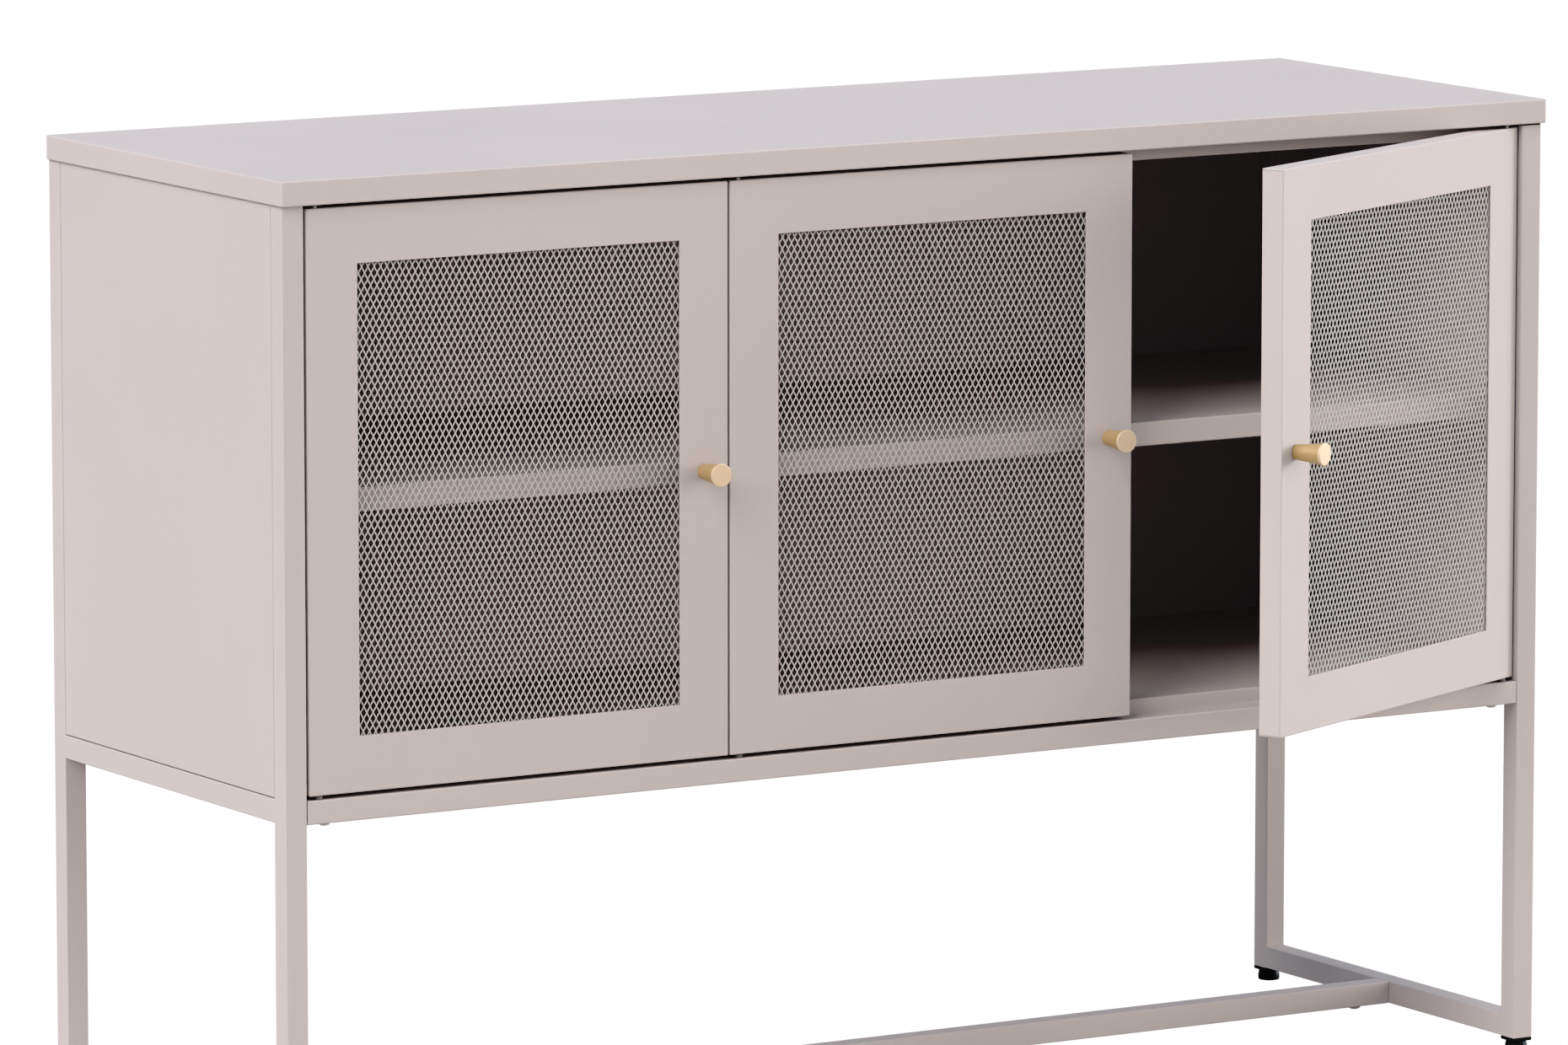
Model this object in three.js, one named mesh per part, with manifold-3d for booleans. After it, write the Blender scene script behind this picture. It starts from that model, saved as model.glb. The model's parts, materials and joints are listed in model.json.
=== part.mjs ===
// A low sideboard of folded steel sheet and square tube, with three mesh doors on pivot pins.
// Units are millimetres, +Z is up and the door faces look along -Y.
import * as THREE from "three";
import { mergeVertices } from "three/addons/utils/BufferGeometryUtils.js";
import Module from "manifold-3d";

// Overall size
const topWidth = 1200;
const topDepth = 400;
const overallHeight = 809;

// Stock: sheet, square tube, and the gaps between pieces
const sheetThickness = 1;
const bendRadius = 0.6;
const tubeSize = 19;
const tubeWall = 1.2;
const tubeCornerRadius = 1.6;
const seatGap = 0.3;
const seamGap = 0.8;
const cutOverrun = 2;

// Top panel, a tray turned upside down
const topLipHeight = 20;
const topReturnWidth = 16;
const topCornerRadius = 2;
const sideOverhang = 2.5;
const frontOverhang = 4.5;
const topSeatGap = 0.5;

// Body levels above the floor, and the stops that the doors close against
const bodyBottomHeight = 299;
const sideRailRise = 1;
const ledgeRise = 19;
const stopHeight = 12;
const stopSetback = 24.5;
const panelFlangeWidth = 15;
const railReturnWidth = 18;
const backRecess = 0.5;

// Shelf, and the brackets on the side panels that carry it
const shelfLipHeight = 20;
const shelfReturnWidth = 12;
const shelfSetback = 28.5;
const shelfEndGap = 1.5;
const bracketWidth = 24;
const bracketReach = 28;
const bracketDrop = 18;
const bracketInset = 42;

// Doors
const doorThickness = 20;
const doorSideGap = 2.6;
const doorMeetingGap = 2;
const doorTopGap = 3.15;
const doorBottomGap = 3.4;
const doorReturnWidth = 14;
const windowMargin = 45;
const hingeInset = 10;
const hingeSetback = 5.5;
const openAngle = THREE.MathUtils.degToRad(25.5);

// Expanded mesh behind each window, with strands measured level, and the frame that holds it
const meshThickness = 1;
const meshStrandWidth = 4;
const meshBorderWidth = 9;
const meshColumns = 9;
const meshRows = 7;
const meshFrameWidth = 12;
const meshFrameInset = 1.5;

// Pivot pins and their bushes
const pinDiameter = 4;
const pinHeadDiameter = 7;
const pinHeadThickness = 1.5;
const pinReach = 8;
const pinChamfer = 0.6;
const pinClearance = 0.3;
const bushWall = 0.9;
const bushCollarDiameter = 8;
const bushCollarThickness = 1.2;
const bushLength = 4;

// Knobs, and the screws that hold them
const knobInset = 22.5;
const knobLength = 28;
const knobBaseDiameter = 12.5;
const knobTipDiameter = 19;
const knobChamfer = 0.7;
const knobBoreDepth = 12;
const knobScrewDiameter = 4;
const knobScrewReach = 9;
const knobScrewHeadDiameter = 8;
const knobScrewHeadHeight = 2.6;

// How far up the knob each ring lies, and how much of the flare it has by then
const knobFlareShares = [[0, 0], [0.25, 0.19], [0.5, 0.42], [0.75, 0.69], [1, 1]];

// Magnet on the back of each door
const magnetLength = 28;
const magnetHeight = 6.4;
const magnetCornerRadius = 1.5;
const magnetInset = 16;

// Stretcher between the bottom rails, the tongues inside its ends, and its bolts
const tongueLength = 42;
const tongueWall = 1.6;
const stretcherBoltInset = 29.5;
const boltDiameter = 6;
const boltReach = 4;
const boltHeadDiameter = 11;
const boltHeadHeight = 3;

// Screws under the base panel, and the tabs on the legs that they go into
const tabLength = 30;
const tabWidth = 13;
const tabThickness = 2;
const tabSetback = 2.5;
const baseScrewInset = 20;
const baseScrewDiameter = 4;
const baseScrewReach = 3;
const baseScrewHeadDiameter = 9;
const baseScrewHeadHeight = 2.6;

// Leg caps and levelling feet
const legCapFlange = 3;
const legCapPlugLength = 12;
const footHeight = 8.7;
const footDiameter = 18.6;
const footTopDiameter = 17;
const footChamfer = 1.2;
const footStemDiameter = 8;
const footStemLength = 34;

// Facets of round work
const knobSegments = 20;
const footSegments = 16;
const smallSegments = 10;
const bendSegments = 2;
const domeSegments = 3;

// Levels that follow from the sizes above
const bendOutside = bendRadius + sheetThickness;
const lipBottom = overallHeight - topLipHeight;
const legBottom = footHeight + seatGap + legCapFlange;
const legTop = lipBottom - topSeatGap;
const sideRailHeight = bodyBottomHeight + sideRailRise;
const ledgeHeight = bodyBottomHeight + ledgeRise;
const floorLevel = ledgeHeight + stopHeight;
const stopRailBottom = lipBottom - stopHeight;
const panelTop = lipBottom - seatGap;
const panelBottom = sideRailHeight + tubeSize + seamGap;
const baseFlangeBottom = panelBottom + sheetThickness + seatGap;
const doorBottom = ledgeHeight + doorBottomGap;
const doorTop = lipBottom - doorTopGap;
const doorHeight = doorTop - doorBottom;
const doorMiddle = (doorTop + doorBottom) / 2;
const shelfTop = (lipBottom + floorLevel) / 2;
const shelfBottom = shelfTop - shelfLipHeight;
const bottomRailMiddle = legBottom + tubeSize / 2;
const tabBottom = bodyBottomHeight + sheetThickness + seatGap;

// Widths, counted from the middle of the cabinet
const frameHalfWidth = topWidth / 2 - sideOverhang;
const legMiddle = frameHalfWidth - tubeSize / 2;
const legInnerFace = frameHalfWidth - tubeSize;
const betweenLegs = legInnerFace - seatGap;
const sidePanelInner = frameHalfWidth - sheetThickness;
const betweenPanels = sidePanelInner - seatGap;
const stopRailHalfLength = frameHalfWidth - panelFlangeWidth - seatGap;
const shelfHalfWidth = legInnerFace - sheetThickness - shelfEndGap;
const stretcherBoltPlace = legInnerFace - stretcherBoltInset;
const doorSpan = 2 * legInnerFace - 2 * doorSideGap - 2 * doorMeetingGap;
const doorWidth = doorSpan / 3;
const doorPitch = doorWidth + doorMeetingGap;
const firstDoorEdge = -legInnerFace + doorSideGap;

// Depths, counted back from the front edge of the top panel
const doorFace = frontOverhang;
const frameBack = topDepth;
const frontLegBack = doorFace + tubeSize;
const rearLegFront = frameBack - tubeSize;
const sidePanelFront = frontLegBack + seamGap;
const sidePanelBack = rearLegFront - seamGap;
const hingeDepth = doorFace + hingeSetback;
const stopFace = doorFace + stopSetback;
const backPanelOuter = frameBack - backRecess;
const backPanelInner = backPanelOuter - sheetThickness;
const baseBack = backPanelInner - seatGap;
const floorSideBack = sidePanelBack - sheetThickness - seatGap;
const shelfFront = doorFace + shelfSetback;
const shelfBack = backPanelInner - shelfEndGap;
const stretcherMiddle = topDepth / 2;

// Sizes of a closed door, with lengths counted from its pivot and depths from the pivot axis
const freeEdge = doorWidth - hingeInset;
const doorCentre = doorWidth / 2 - hingeInset;
const knobPlace = freeEdge - knobInset;
const doorFront = -hingeSetback;
const skinBack = doorFront + sheetThickness;
const doorRear = doorFront + doorThickness;
const meshFront = skinBack + seatGap;
const meshFrameFront = meshFront + meshThickness + seatGap;
const magnetThickness = stopSetback - doorThickness - 2 * seatGap;
const magnetPlace = freeEdge - magnetInset - magnetLength / 2;
const magnetMiddle = (stopRailBottom + doorTop) / 2;

// The window, and the pitch of the mesh's diamonds in it
const windowWidth = doorWidth - 2 * windowMargin;
const windowHeight = doorHeight - 2 * windowMargin;
const diamondWidth = windowWidth / meshColumns;
const diamondHeight = windowHeight / meshRows;
const diamondTail = meshBorderWidth / 2;
const knuckleHeight = (meshStrandWidth * diamondHeight) / diamondWidth;

// Radii of clear holes round screws, pins and bushes
const pinHole = pinDiameter / 2 + pinClearance;
const bushOuter = pinHole + bushWall;
const bushHole = bushOuter + seatGap;
const baseScrewHole = baseScrewDiameter / 2 + seatGap;
const boltHole = boltDiameter / 2 + seatGap;
const knobScrewHole = knobScrewDiameter / 2 + seatGap;
const stemHole = footStemDiameter / 2 + seatGap;

const LEFT = -1;
const RIGHT = 1;

const sides = [
  { word: "left", side: LEFT },
  { word: "right", side: RIGHT },
];

const corners = sides.flatMap(({ word, side }) => [
  { word: word + "_front", side, atFront: true },
  { word: word + "_rear", side, atFront: false },
]);

// Each door's pivot, the direction from it to the door's free edge, and how far it stands open
const doors = [
  { word: "left_door", x: firstDoorEdge + hingeInset, reach: RIGHT, open: 0 },
  { word: "middle_door", x: firstDoorEdge + doorPitch + hingeInset, reach: RIGHT, open: 0 },
  { word: "right_door", x: -firstDoorEdge - hingeInset, reach: LEFT, open: openAngle },
];

const wasm = await Module();
wasm.setup();

// Materials

function paintedSteel() {
  return new THREE.MeshStandardMaterial({ color: 0xc4bab2, roughness: 0.55, metalness: 0.1 });
}

function paintedMesh() {
  return new THREE.MeshStandardMaterial({ color: 0xcfc8c2, roughness: 0.5, metalness: 0.1 });
}

function satinBrass() {
  return new THREE.MeshStandardMaterial({ color: 0xe3c48a, roughness: 0.35, metalness: 0.85 });
}

function zincSteel() {
  return new THREE.MeshStandardMaterial({ color: 0xb9bcc0, roughness: 0.4, metalness: 0.9 });
}

function whiteNylon() {
  return new THREE.MeshStandardMaterial({ color: 0xeeeeea, roughness: 0.6, metalness: 0 });
}

function blackPlastic() {
  return new THREE.MeshStandardMaterial({ color: 0x141414, roughness: 0.6, metalness: 0 });
}

// Solids and meshes

function solidOf(geometry) {
  const bare = geometry.clone();
  bare.deleteAttribute("normal");
  bare.deleteAttribute("uv");
  const merged = mergeVertices(bare);
  return new wasm.Manifold(
    new wasm.Mesh({
      numProp: 3,
      vertProperties: merged.attributes.position.array,
      triVerts: new Uint32Array(merged.index.array),
    }),
  );
}

function geometryOf(solid) {
  const mesh = solid.getMesh();
  const geometry = new THREE.BufferGeometry();
  geometry.setAttribute("position", new THREE.BufferAttribute(mesh.vertProperties, 3));
  geometry.setIndex(new THREE.BufferAttribute(mesh.triVerts, 1));
  const faceted = geometry.toNonIndexed();
  faceted.computeVertexNormals();
  return faceted;
}

function part(name, shape, material) {
  const geometry = shape.isBufferGeometry ? shape : geometryOf(shape);
  const mesh = new THREE.Mesh(geometry, material);
  mesh.name = name;
  return mesh;
}

// A block between two values on each axis, given in either order.
function block(xs, ys, zs) {
  const low = [xs, ys, zs].map((pair) => Math.min(...pair));
  const high = [xs, ys, zs].map((pair) => Math.max(...pair));
  const geometry = new THREE.BoxGeometry(...high.map((value, axis) => value - low[axis]));
  return solidOf(geometry.translate(...high.map((value, axis) => (value + low[axis]) / 2)));
}

// Turn a geometry so that its own X and Y lie along the two cabinet axes named by the plane.
function turnedTo(geometry, plane) {
  const unit = { X: [1, 0, 0], Y: [0, 1, 0], Z: [0, 0, 1] };
  const across = new THREE.Vector3(...unit[plane[0]]);
  const up = new THREE.Vector3(...unit[plane[1]]);
  const along = across.clone().cross(up);
  return geometry.applyMatrix4(new THREE.Matrix4().makeBasis(across, up, along));
}

function extruded(shape, depth) {
  return new THREE.ExtrudeGeometry(shape, {
    depth,
    bevelEnabled: false,
    curveSegments: bendSegments,
  });
}

// A lathe piece that stands on +Z, from [radius, height] pairs that run from bottom to top.
function lathed(profile, segments) {
  const points = profile.map(([radius, height]) => new THREE.Vector2(radius, height));
  return new THREE.LatheGeometry(points, segments).rotateX(Math.PI / 2);
}

// A cutter for a round upright hole between two heights.
function drill(x, y, [bottom, top], radius) {
  const cutter = new THREE.CylinderGeometry(radius, radius, top - bottom, smallSegments);
  return solidOf(cutter.rotateX(Math.PI / 2).translate(x, y, (top + bottom) / 2));
}

// The stretch of heights that a cutter needs to pass through a plate.
function through(bottom, top) {
  return [bottom - cutOverrun, top + cutOverrun];
}

// Outlines

// A closed outline whose corners are rounded by the radius given with each point.
function roundedOutline(points) {
  const shape = new THREE.Shape();
  points.forEach(({ at, radius }, i) => {
    const before = points[(i + points.length - 1) % points.length].at;
    const after = points[(i + 1) % points.length].at;
    const start = at.clone().add(before.clone().sub(at).setLength(radius));
    const end = at.clone().add(after.clone().sub(at).setLength(radius));
    if (i === 0) shape.moveTo(start.x, start.y);
    else shape.lineTo(start.x, start.y);
    if (radius > 0) shape.quadraticCurveTo(at.x, at.y, end.x, end.y);
  });
  shape.closePath();
  return shape;
}

// A rectangle centred on its own origin.
function rectangle(width, height, radius = 0) {
  const quarters = [[-1, -1], [1, -1], [1, 1], [-1, 1]];
  return roundedOutline(
    quarters.map(([across, up]) => ({
      at: new THREE.Vector2((across * width) / 2, (up * height) / 2),
      radius,
    })),
  );
}

// The section of a folded sheet. The path follows one face of it, and the sheet lies to its left.
function foldedSection(path) {
  const line = path.map(([x, y]) => new THREE.Vector2(x, y));
  const steps = line.slice(1).map((point, i) => point.clone().sub(line[i]).normalize());
  const leftOf = (step) => new THREE.Vector2(-step.y, step.x);
  const near = [];
  const far = [];
  line.forEach((at, i) => {
    const before = steps[Math.max(i - 1, 0)];
    const after = steps[Math.min(i, steps.length - 1)];
    const sideways = leftOf(before).add(leftOf(after));
    const mitre = sheetThickness / (1 + leftOf(before).dot(leftOf(after)));
    const turn = Math.sign(before.cross(after));
    const nearRadius = { "-1": bendRadius, 0: 0, 1: bendOutside }[turn];
    const farRadius = { "-1": bendOutside, 0: 0, 1: bendRadius }[turn];
    near.push({ at, radius: nearRadius });
    far.push({ at: at.clone().addScaledVector(sideways, mitre), radius: farRadius });
  });
  return roundedOutline([...near, ...far.reverse()]);
}

// A pan of folded sheet, centred on its face. The face lies at zero and the walls run along +Z
// to the depth, where they turn inwards by the width of the return, or end plainly without one.
function foldedPan(width, height, depth, returnWidth, cornerRadius = 0) {
  const plain = returnWidth === 0;
  const fullDepth = plain ? depth + 2 * bendOutside : depth;
  const skin = new THREE.ExtrudeGeometry(rectangle(width, height, cornerRadius), {
    depth: fullDepth - 2 * bendOutside,
    bevelThickness: bendOutside,
    bevelSize: bendOutside,
    bevelOffset: -bendOutside,
    bevelSegments: bendSegments,
    curveSegments: bendSegments,
  }).translate(0, 0, bendOutside);
  const centred = (size) => [-size / 2, size / 2];
  const hollow = block(
    centred(width - 2 * sheetThickness),
    centred(height - 2 * sheetThickness),
    [sheetThickness, depth - (plain ? 0 : sheetThickness)],
  );
  const mouth = block(
    centred(plain ? width + cutOverrun : width - 2 * returnWidth),
    centred(plain ? height + cutOverrun : height - 2 * returnWidth),
    [plain ? depth : depth / 2, fullDepth + cutOverrun],
  );
  return solidOf(skin).subtract(hollow).subtract(mouth);
}

// Turn a solid onto a plane of the cabinet, turn it about the upright axis, and put it in place.
function placed(solid, plane, position, turn = 0) {
  return solidOf(turnedTo(geometryOf(solid), plane).rotateZ(turn).translate(...position));
}

// A length of square tube whose section lies in the plane and whose start is at the position.
function squareTube(plane, length, position) {
  const section = rectangle(tubeSize, tubeSize, tubeCornerRadius);
  const bore = tubeSize - 2 * tubeWall;
  section.holes.push(rectangle(bore, bore));
  return turnedTo(extruded(section, length), plane).translate(...position);
}

// Top panel

function topPanel() {
  const tray = foldedPan(topDepth, topWidth, topLipHeight, topReturnWidth, topCornerRadius);
  let panel = placed(tray, "YX", [0, topDepth / 2, overallHeight]);
  for (const { x } of doors) {
    const heights = through(lipBottom, lipBottom + sheetThickness);
    panel = panel.subtract(drill(x, hingeDepth, heights, bushHole));
  }
  return part("top_panel", panel, paintedSteel());
}

// Side frames

function legPlace({ side, atFront }) {
  const y = atFront ? doorFace + tubeSize / 2 : frameBack - tubeSize / 2;
  return { x: side * legMiddle, y };
}

// The screws that hold the base panel: one near each leg, through a tab welded to the leg.
function baseScrewPlace({ side, atFront }) {
  const depth = tabSetback + tabWidth / 2;
  const y = atFront ? doorFace + depth : baseBack - depth;
  return { x: side * (legInnerFace - baseScrewInset), y };
}

function leg(corner) {
  const { x, y } = legPlace(corner);
  const screw = baseScrewPlace(corner);
  const tube = squareTube("XY", legTop - legBottom, [x, y, legBottom]);
  const tab = block(
    [corner.side * (legInnerFace + tubeWall / 2), corner.side * (legInnerFace - tabLength)],
    [screw.y - tabWidth / 2, screw.y + tabWidth / 2],
    [tabBottom, tabBottom + tabThickness],
  );
  const hole = drill(screw.x, screw.y, through(tabBottom, tabBottom + tabThickness), baseScrewHole);
  return part(corner.word + "_leg", solidOf(tube).add(tab.subtract(hole)), paintedSteel());
}

// A level tube that runs from the front leg to the rear leg.
function sideTube(side, middle) {
  const front = frontLegBack + seatGap;
  const back = rearLegFront - seatGap;
  return squareTube("ZX", back - front, [side * legMiddle, front, middle]);
}

function sideRail({ word, side }) {
  return part(word + "_side_rail", sideTube(side, sideRailHeight + tubeSize / 2), paintedSteel());
}

// The open channel on a bottom rail's inner face that enters the end of the stretcher.
function tongue(side) {
  const outer = tubeSize / 2 - tubeWall - seatGap;
  const inner = outer - tongueWall;
  const channel = new THREE.Shape();
  channel.moveTo(-outer, outer);
  channel.lineTo(-outer, -outer);
  channel.lineTo(outer, -outer);
  channel.lineTo(outer, outer);
  channel.lineTo(inner, outer);
  channel.lineTo(inner, -inner);
  channel.lineTo(-inner, -inner);
  channel.lineTo(-inner, outer);
  channel.closePath();
  const root = legInnerFace + tubeWall / 2;
  const tip = legInnerFace - tongueLength;
  const left = side === LEFT ? -root : tip;
  const bar = turnedTo(extruded(channel, root - tip), "YZ");
  const hole = drill(
    side * stretcherBoltPlace,
    stretcherMiddle,
    [legBottom, bottomRailMiddle],
    boltHole,
  );
  return solidOf(bar.translate(left, stretcherMiddle, bottomRailMiddle)).subtract(hole);
}

function bottomRail({ word, side }) {
  const rail = solidOf(sideTube(side, bottomRailMiddle)).add(tongue(side));
  return part(word + "_bottom_rail", rail, paintedSteel());
}

// An angle with one leg against the side panel and the other under the shelf.
function shelfBracket(side, y) {
  const top = shelfBottom - seatGap;
  const root = side * (frameHalfWidth - sheetThickness / 2);
  const ys = [y - bracketWidth / 2, y + bracketWidth / 2];
  const ledge = block([root, root - side * bracketReach], ys, [top, top - sheetThickness]);
  const inner = side * (sidePanelInner - sheetThickness);
  return ledge.add(block([root, inner], ys, [top, top - bracketDrop]));
}

// A pan set flush between the legs, with the two brackets that carry the shelf.
function sidePanel({ word, side }) {
  const length = sidePanelBack - sidePanelFront;
  const height = panelTop - panelBottom;
  const middle = [
    side * frameHalfWidth,
    (sidePanelFront + sidePanelBack) / 2,
    (panelTop + panelBottom) / 2,
  ];
  const turn = side === LEFT ? 0 : Math.PI;
  let panel = placed(foldedPan(length, height, panelFlangeWidth, 0), "YZ", middle, turn);
  for (const y of [sidePanelFront + bracketInset, sidePanelBack - bracketInset]) {
    panel = panel.add(shelfBracket(side, y));
  }
  return part(word + "_side_panel", panel, paintedSteel());
}

// Back panel, base panel, top stop rail and shelf

// A pan between the rear legs. Below the floor its flanges are cut away round the base panel.
function backPanel() {
  const rawBottom = bodyBottomHeight - 2 * bendOutside;
  const pan = foldedPan(2 * betweenLegs, panelTop - rawBottom, panelFlangeWidth, 0);
  const across = [-legInnerFace, legInnerFace];
  const flangeDepths = [backPanelInner, backPanelInner - panelFlangeWidth - cutOverrun];
  const panel = placed(pan, "XZ", [0, backPanelOuter, (panelTop + rawBottom) / 2])
    .subtract(block(across, [flangeDepths[1], frameBack], [rawBottom - cutOverrun, bodyBottomHeight]))
    .subtract(block(across, flangeDepths, [rawBottom - cutOverrun, floorLevel + seatGap]));
  return part("back_panel", panel, paintedSteel());
}

// The section of the base panel from front to back: the front rail with its return, the ledge
// under the doors, the step that stops them, the cabinet floor, and the rear rail.
function basePanelSection() {
  return foldedSection([
    [baseBack - railReturnWidth, bodyBottomHeight],
    [baseBack, bodyBottomHeight],
    [baseBack, floorLevel],
    [stopFace, floorLevel],
    [stopFace, ledgeHeight],
    [doorFace, ledgeHeight],
    [doorFace, bodyBottomHeight],
    [doorFace + railReturnWidth, bodyBottomHeight],
  ]);
}

// The base panel's ends pass between the legs, and beyond them only the floor goes on, to the
// side panels, where it has a flange.
function basePanelEnd(panel, side) {
  const xs = [side * betweenLegs, side * (betweenPanels + cutOverrun)];
  const beside = (ys, zs) => block(xs, ys, zs);
  const allHeights = through(bodyBottomHeight, floorLevel);
  const flange = block(
    [side * betweenPanels, side * (betweenPanels - sheetThickness)],
    [stopFace, floorSideBack],
    [baseFlangeBottom, floorLevel - sheetThickness / 2],
  );
  return panel
    .subtract(beside([doorFace - cutOverrun, stopFace - seatGap], allHeights))
    .subtract(beside([floorSideBack, baseBack + cutOverrun], allHeights))
    .subtract(beside([doorFace, baseBack], [bodyBottomHeight - cutOverrun, baseFlangeBottom]))
    .add(flange);
}

function basePanel() {
  const sheet = turnedTo(extruded(basePanelSection(), 2 * betweenPanels), "YZ");
  let panel = solidOf(sheet.translate(-betweenPanels, 0, 0));
  for (const { side } of sides) panel = basePanelEnd(panel, side);
  for (const corner of corners) {
    const { x, y } = baseScrewPlace(corner);
    const heights = through(bodyBottomHeight, bodyBottomHeight + sheetThickness);
    panel = panel.subtract(drill(x, y, heights, baseScrewHole));
  }
  for (const { x } of doors) {
    const heights = through(ledgeHeight - sheetThickness, ledgeHeight);
    panel = panel.subtract(drill(x, hingeDepth, heights, bushHole));
  }
  return part("base_panel", panel, paintedSteel());
}

function topStopRail() {
  const section = foldedSection([
    [stopFace + panelFlangeWidth, panelTop],
    [stopFace, panelTop],
    [stopFace, stopRailBottom],
    [stopFace + panelFlangeWidth, stopRailBottom],
  ]);
  const rail = turnedTo(extruded(section, 2 * stopRailHalfLength), "YZ");
  return part("top_stop_rail", rail.translate(-stopRailHalfLength, 0, 0), paintedSteel());
}

function shelf() {
  const tray = foldedPan(
    shelfBack - shelfFront,
    2 * shelfHalfWidth,
    shelfLipHeight,
    shelfReturnWidth,
  );
  const panel = placed(tray, "YX", [0, (shelfFront + shelfBack) / 2, shelfTop]);
  return part("shelf", panel, paintedSteel());
}

// Stretcher, bolts and screws

function stretcher() {
  const start = [-betweenLegs, stretcherMiddle, bottomRailMiddle];
  let tube = solidOf(squareTube("YZ", 2 * betweenLegs, start));
  for (const { side } of sides) {
    const heights = [legBottom - cutOverrun, bottomRailMiddle];
    tube = tube.subtract(drill(side * stretcherBoltPlace, stretcherMiddle, heights, boltHole));
  }
  return part("stretcher", tube, paintedSteel());
}

// A screw that stands on +Z, with its seat at zero and its domed head below.
function domedScrew(headDiameter, headHeight, diameter, length) {
  const dome = Array.from({ length: domeSegments + 1 }, (_, i) => {
    const angle = ((Math.PI / 2) * i) / domeSegments;
    return [(headDiameter / 2) * Math.sin(angle), -headHeight * Math.cos(angle)];
  });
  const shank = [[diameter / 2, 0], [diameter / 2, length], [0, length]];
  return lathed([...dome, ...shank], smallSegments);
}

function stretcherBolt({ word, side }) {
  const length = seatGap + tubeWall + seatGap + tongueWall + boltReach;
  const bolt = domedScrew(boltHeadDiameter, boltHeadHeight, boltDiameter, length);
  bolt.translate(side * stretcherBoltPlace, stretcherMiddle, legBottom - seatGap);
  return part(word + "_stretcher_bolt", bolt, zincSteel());
}

function baseScrew(corner) {
  const { x, y } = baseScrewPlace(corner);
  const length = seatGap + sheetThickness + seatGap + tabThickness + baseScrewReach;
  const screw = domedScrew(baseScrewHeadDiameter, baseScrewHeadHeight, baseScrewDiameter, length);
  screw.translate(x, y, bodyBottomHeight - seatGap);
  return part(corner.word + "_base_screw", screw, zincSteel());
}

// Leg caps and levelling feet

function legCap(corner) {
  const { x, y } = legPlace(corner);
  const thickness = legCapFlange - seatGap;
  const plugSize = tubeSize - 2 * tubeWall - 2 * seatGap;
  const flange = extruded(rectangle(tubeSize, tubeSize, tubeCornerRadius), thickness);
  const plug = extruded(rectangle(plugSize, plugSize), thickness / 2 + legCapPlugLength);
  const hole = drill(0, 0, through(0, thickness + legCapPlugLength), stemHole);
  const cap = solidOf(flange).add(solidOf(plug.translate(0, 0, thickness / 2))).subtract(hole);
  const geometry = geometryOf(cap).translate(x, y, legBottom - legCapFlange);
  return part(corner.word + "_leg_cap", geometry, blackPlastic());
}

function levellingFoot(corner) {
  const { x, y } = legPlace(corner);
  const foot = lathed(
    [
      [0, 0],
      [footDiameter / 2 - footChamfer, 0],
      [footDiameter / 2, footChamfer],
      [footDiameter / 2, footHeight / 2],
      [footTopDiameter / 2, footHeight],
      [footStemDiameter / 2, footHeight],
      [footStemDiameter / 2, footHeight + footStemLength],
      [0, footHeight + footStemLength],
    ],
    footSegments,
  );
  return part(corner.word + "_levelling_foot", foot.translate(x, y, 0), blackPlastic());
}

// Bushes that the pivot pins turn in

// A bush that stands on +Z, with its collar below and its own body above.
function bush(collarThickness) {
  return lathed(
    [
      [pinHole, 0],
      [bushCollarDiameter / 2, 0],
      [bushCollarDiameter / 2, collarThickness],
      [bushOuter, collarThickness],
      [bushOuter, collarThickness + bushLength],
      [pinHole, collarThickness + bushLength],
      [pinHole, 0],
    ],
    smallSegments,
  );
}

function topBush({ word, x }) {
  const collarBottom = lipBottom - seatGap - bushCollarThickness;
  const geometry = bush(bushCollarThickness).translate(x, hingeDepth, collarBottom);
  return part(word + "_top_bush", geometry, whiteNylon());
}

// The lower bush hangs in the ledge, and its thicker collar carries the door.
function bottomBush({ word, x }) {
  const collarTop = doorBottom - seatGap;
  const collarThickness = doorBottomGap - 2 * seatGap;
  const geometry = bush(collarThickness).rotateX(Math.PI).translate(x, hingeDepth, collarTop);
  return part(word + "_bottom_bush", geometry, whiteNylon());
}

// Doors, each modelled closed with its pivot axis at the origin

function doorShell({ word, reach }) {
  const middle = [reach * doorCentre, doorFront, doorMiddle];
  const window = block(
    [-windowHeight / 2, windowHeight / 2],
    [-windowWidth / 2, windowWidth / 2],
    [-cutOverrun, sheetThickness + cutOverrun],
  );
  const pan = foldedPan(doorHeight, doorWidth, doorThickness, doorReturnWidth).subtract(window);
  const screwHole = new THREE.CylinderGeometry(
    knobScrewHole,
    knobScrewHole,
    sheetThickness + 2 * cutOverrun,
    smallSegments,
  ).translate(reach * knobPlace, (doorFront + skinBack) / 2, doorMiddle);
  const shell = placed(pan, "ZX", middle)
    .subtract(drill(0, 0, through(doorTop - sheetThickness, doorTop), pinHole))
    .subtract(drill(0, 0, through(doorBottom, doorBottom + sheetThickness), pinHole))
    .subtract(solidOf(screwHole));
  return part(word + "_shell", shell, paintedSteel());
}

// The outline of one diamond. Past the window's edge it has only a short tail in the border.
function diamond(column, row) {
  const x = (column * diamondWidth - windowWidth) / 2;
  const z = (row * diamondHeight - windowHeight) / 2;
  const halfWidth = (diamondWidth - meshStrandWidth) / 2;
  const halfHeight = (diamondHeight - knuckleHeight) / 2;
  const head = row < 2 * meshRows ? halfHeight : diamondTail;
  const foot = row > 0 ? halfHeight : diamondTail;
  const left = column > 0 ? halfWidth : diamondTail;
  const right = column < 2 * meshColumns ? halfWidth : diamondTail;
  const path = new THREE.Path();
  path.moveTo(x, z + head);
  path.lineTo(x - left, z);
  path.lineTo(x, z - foot);
  path.lineTo(x + right, z);
  path.closePath();
  return path;
}

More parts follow.
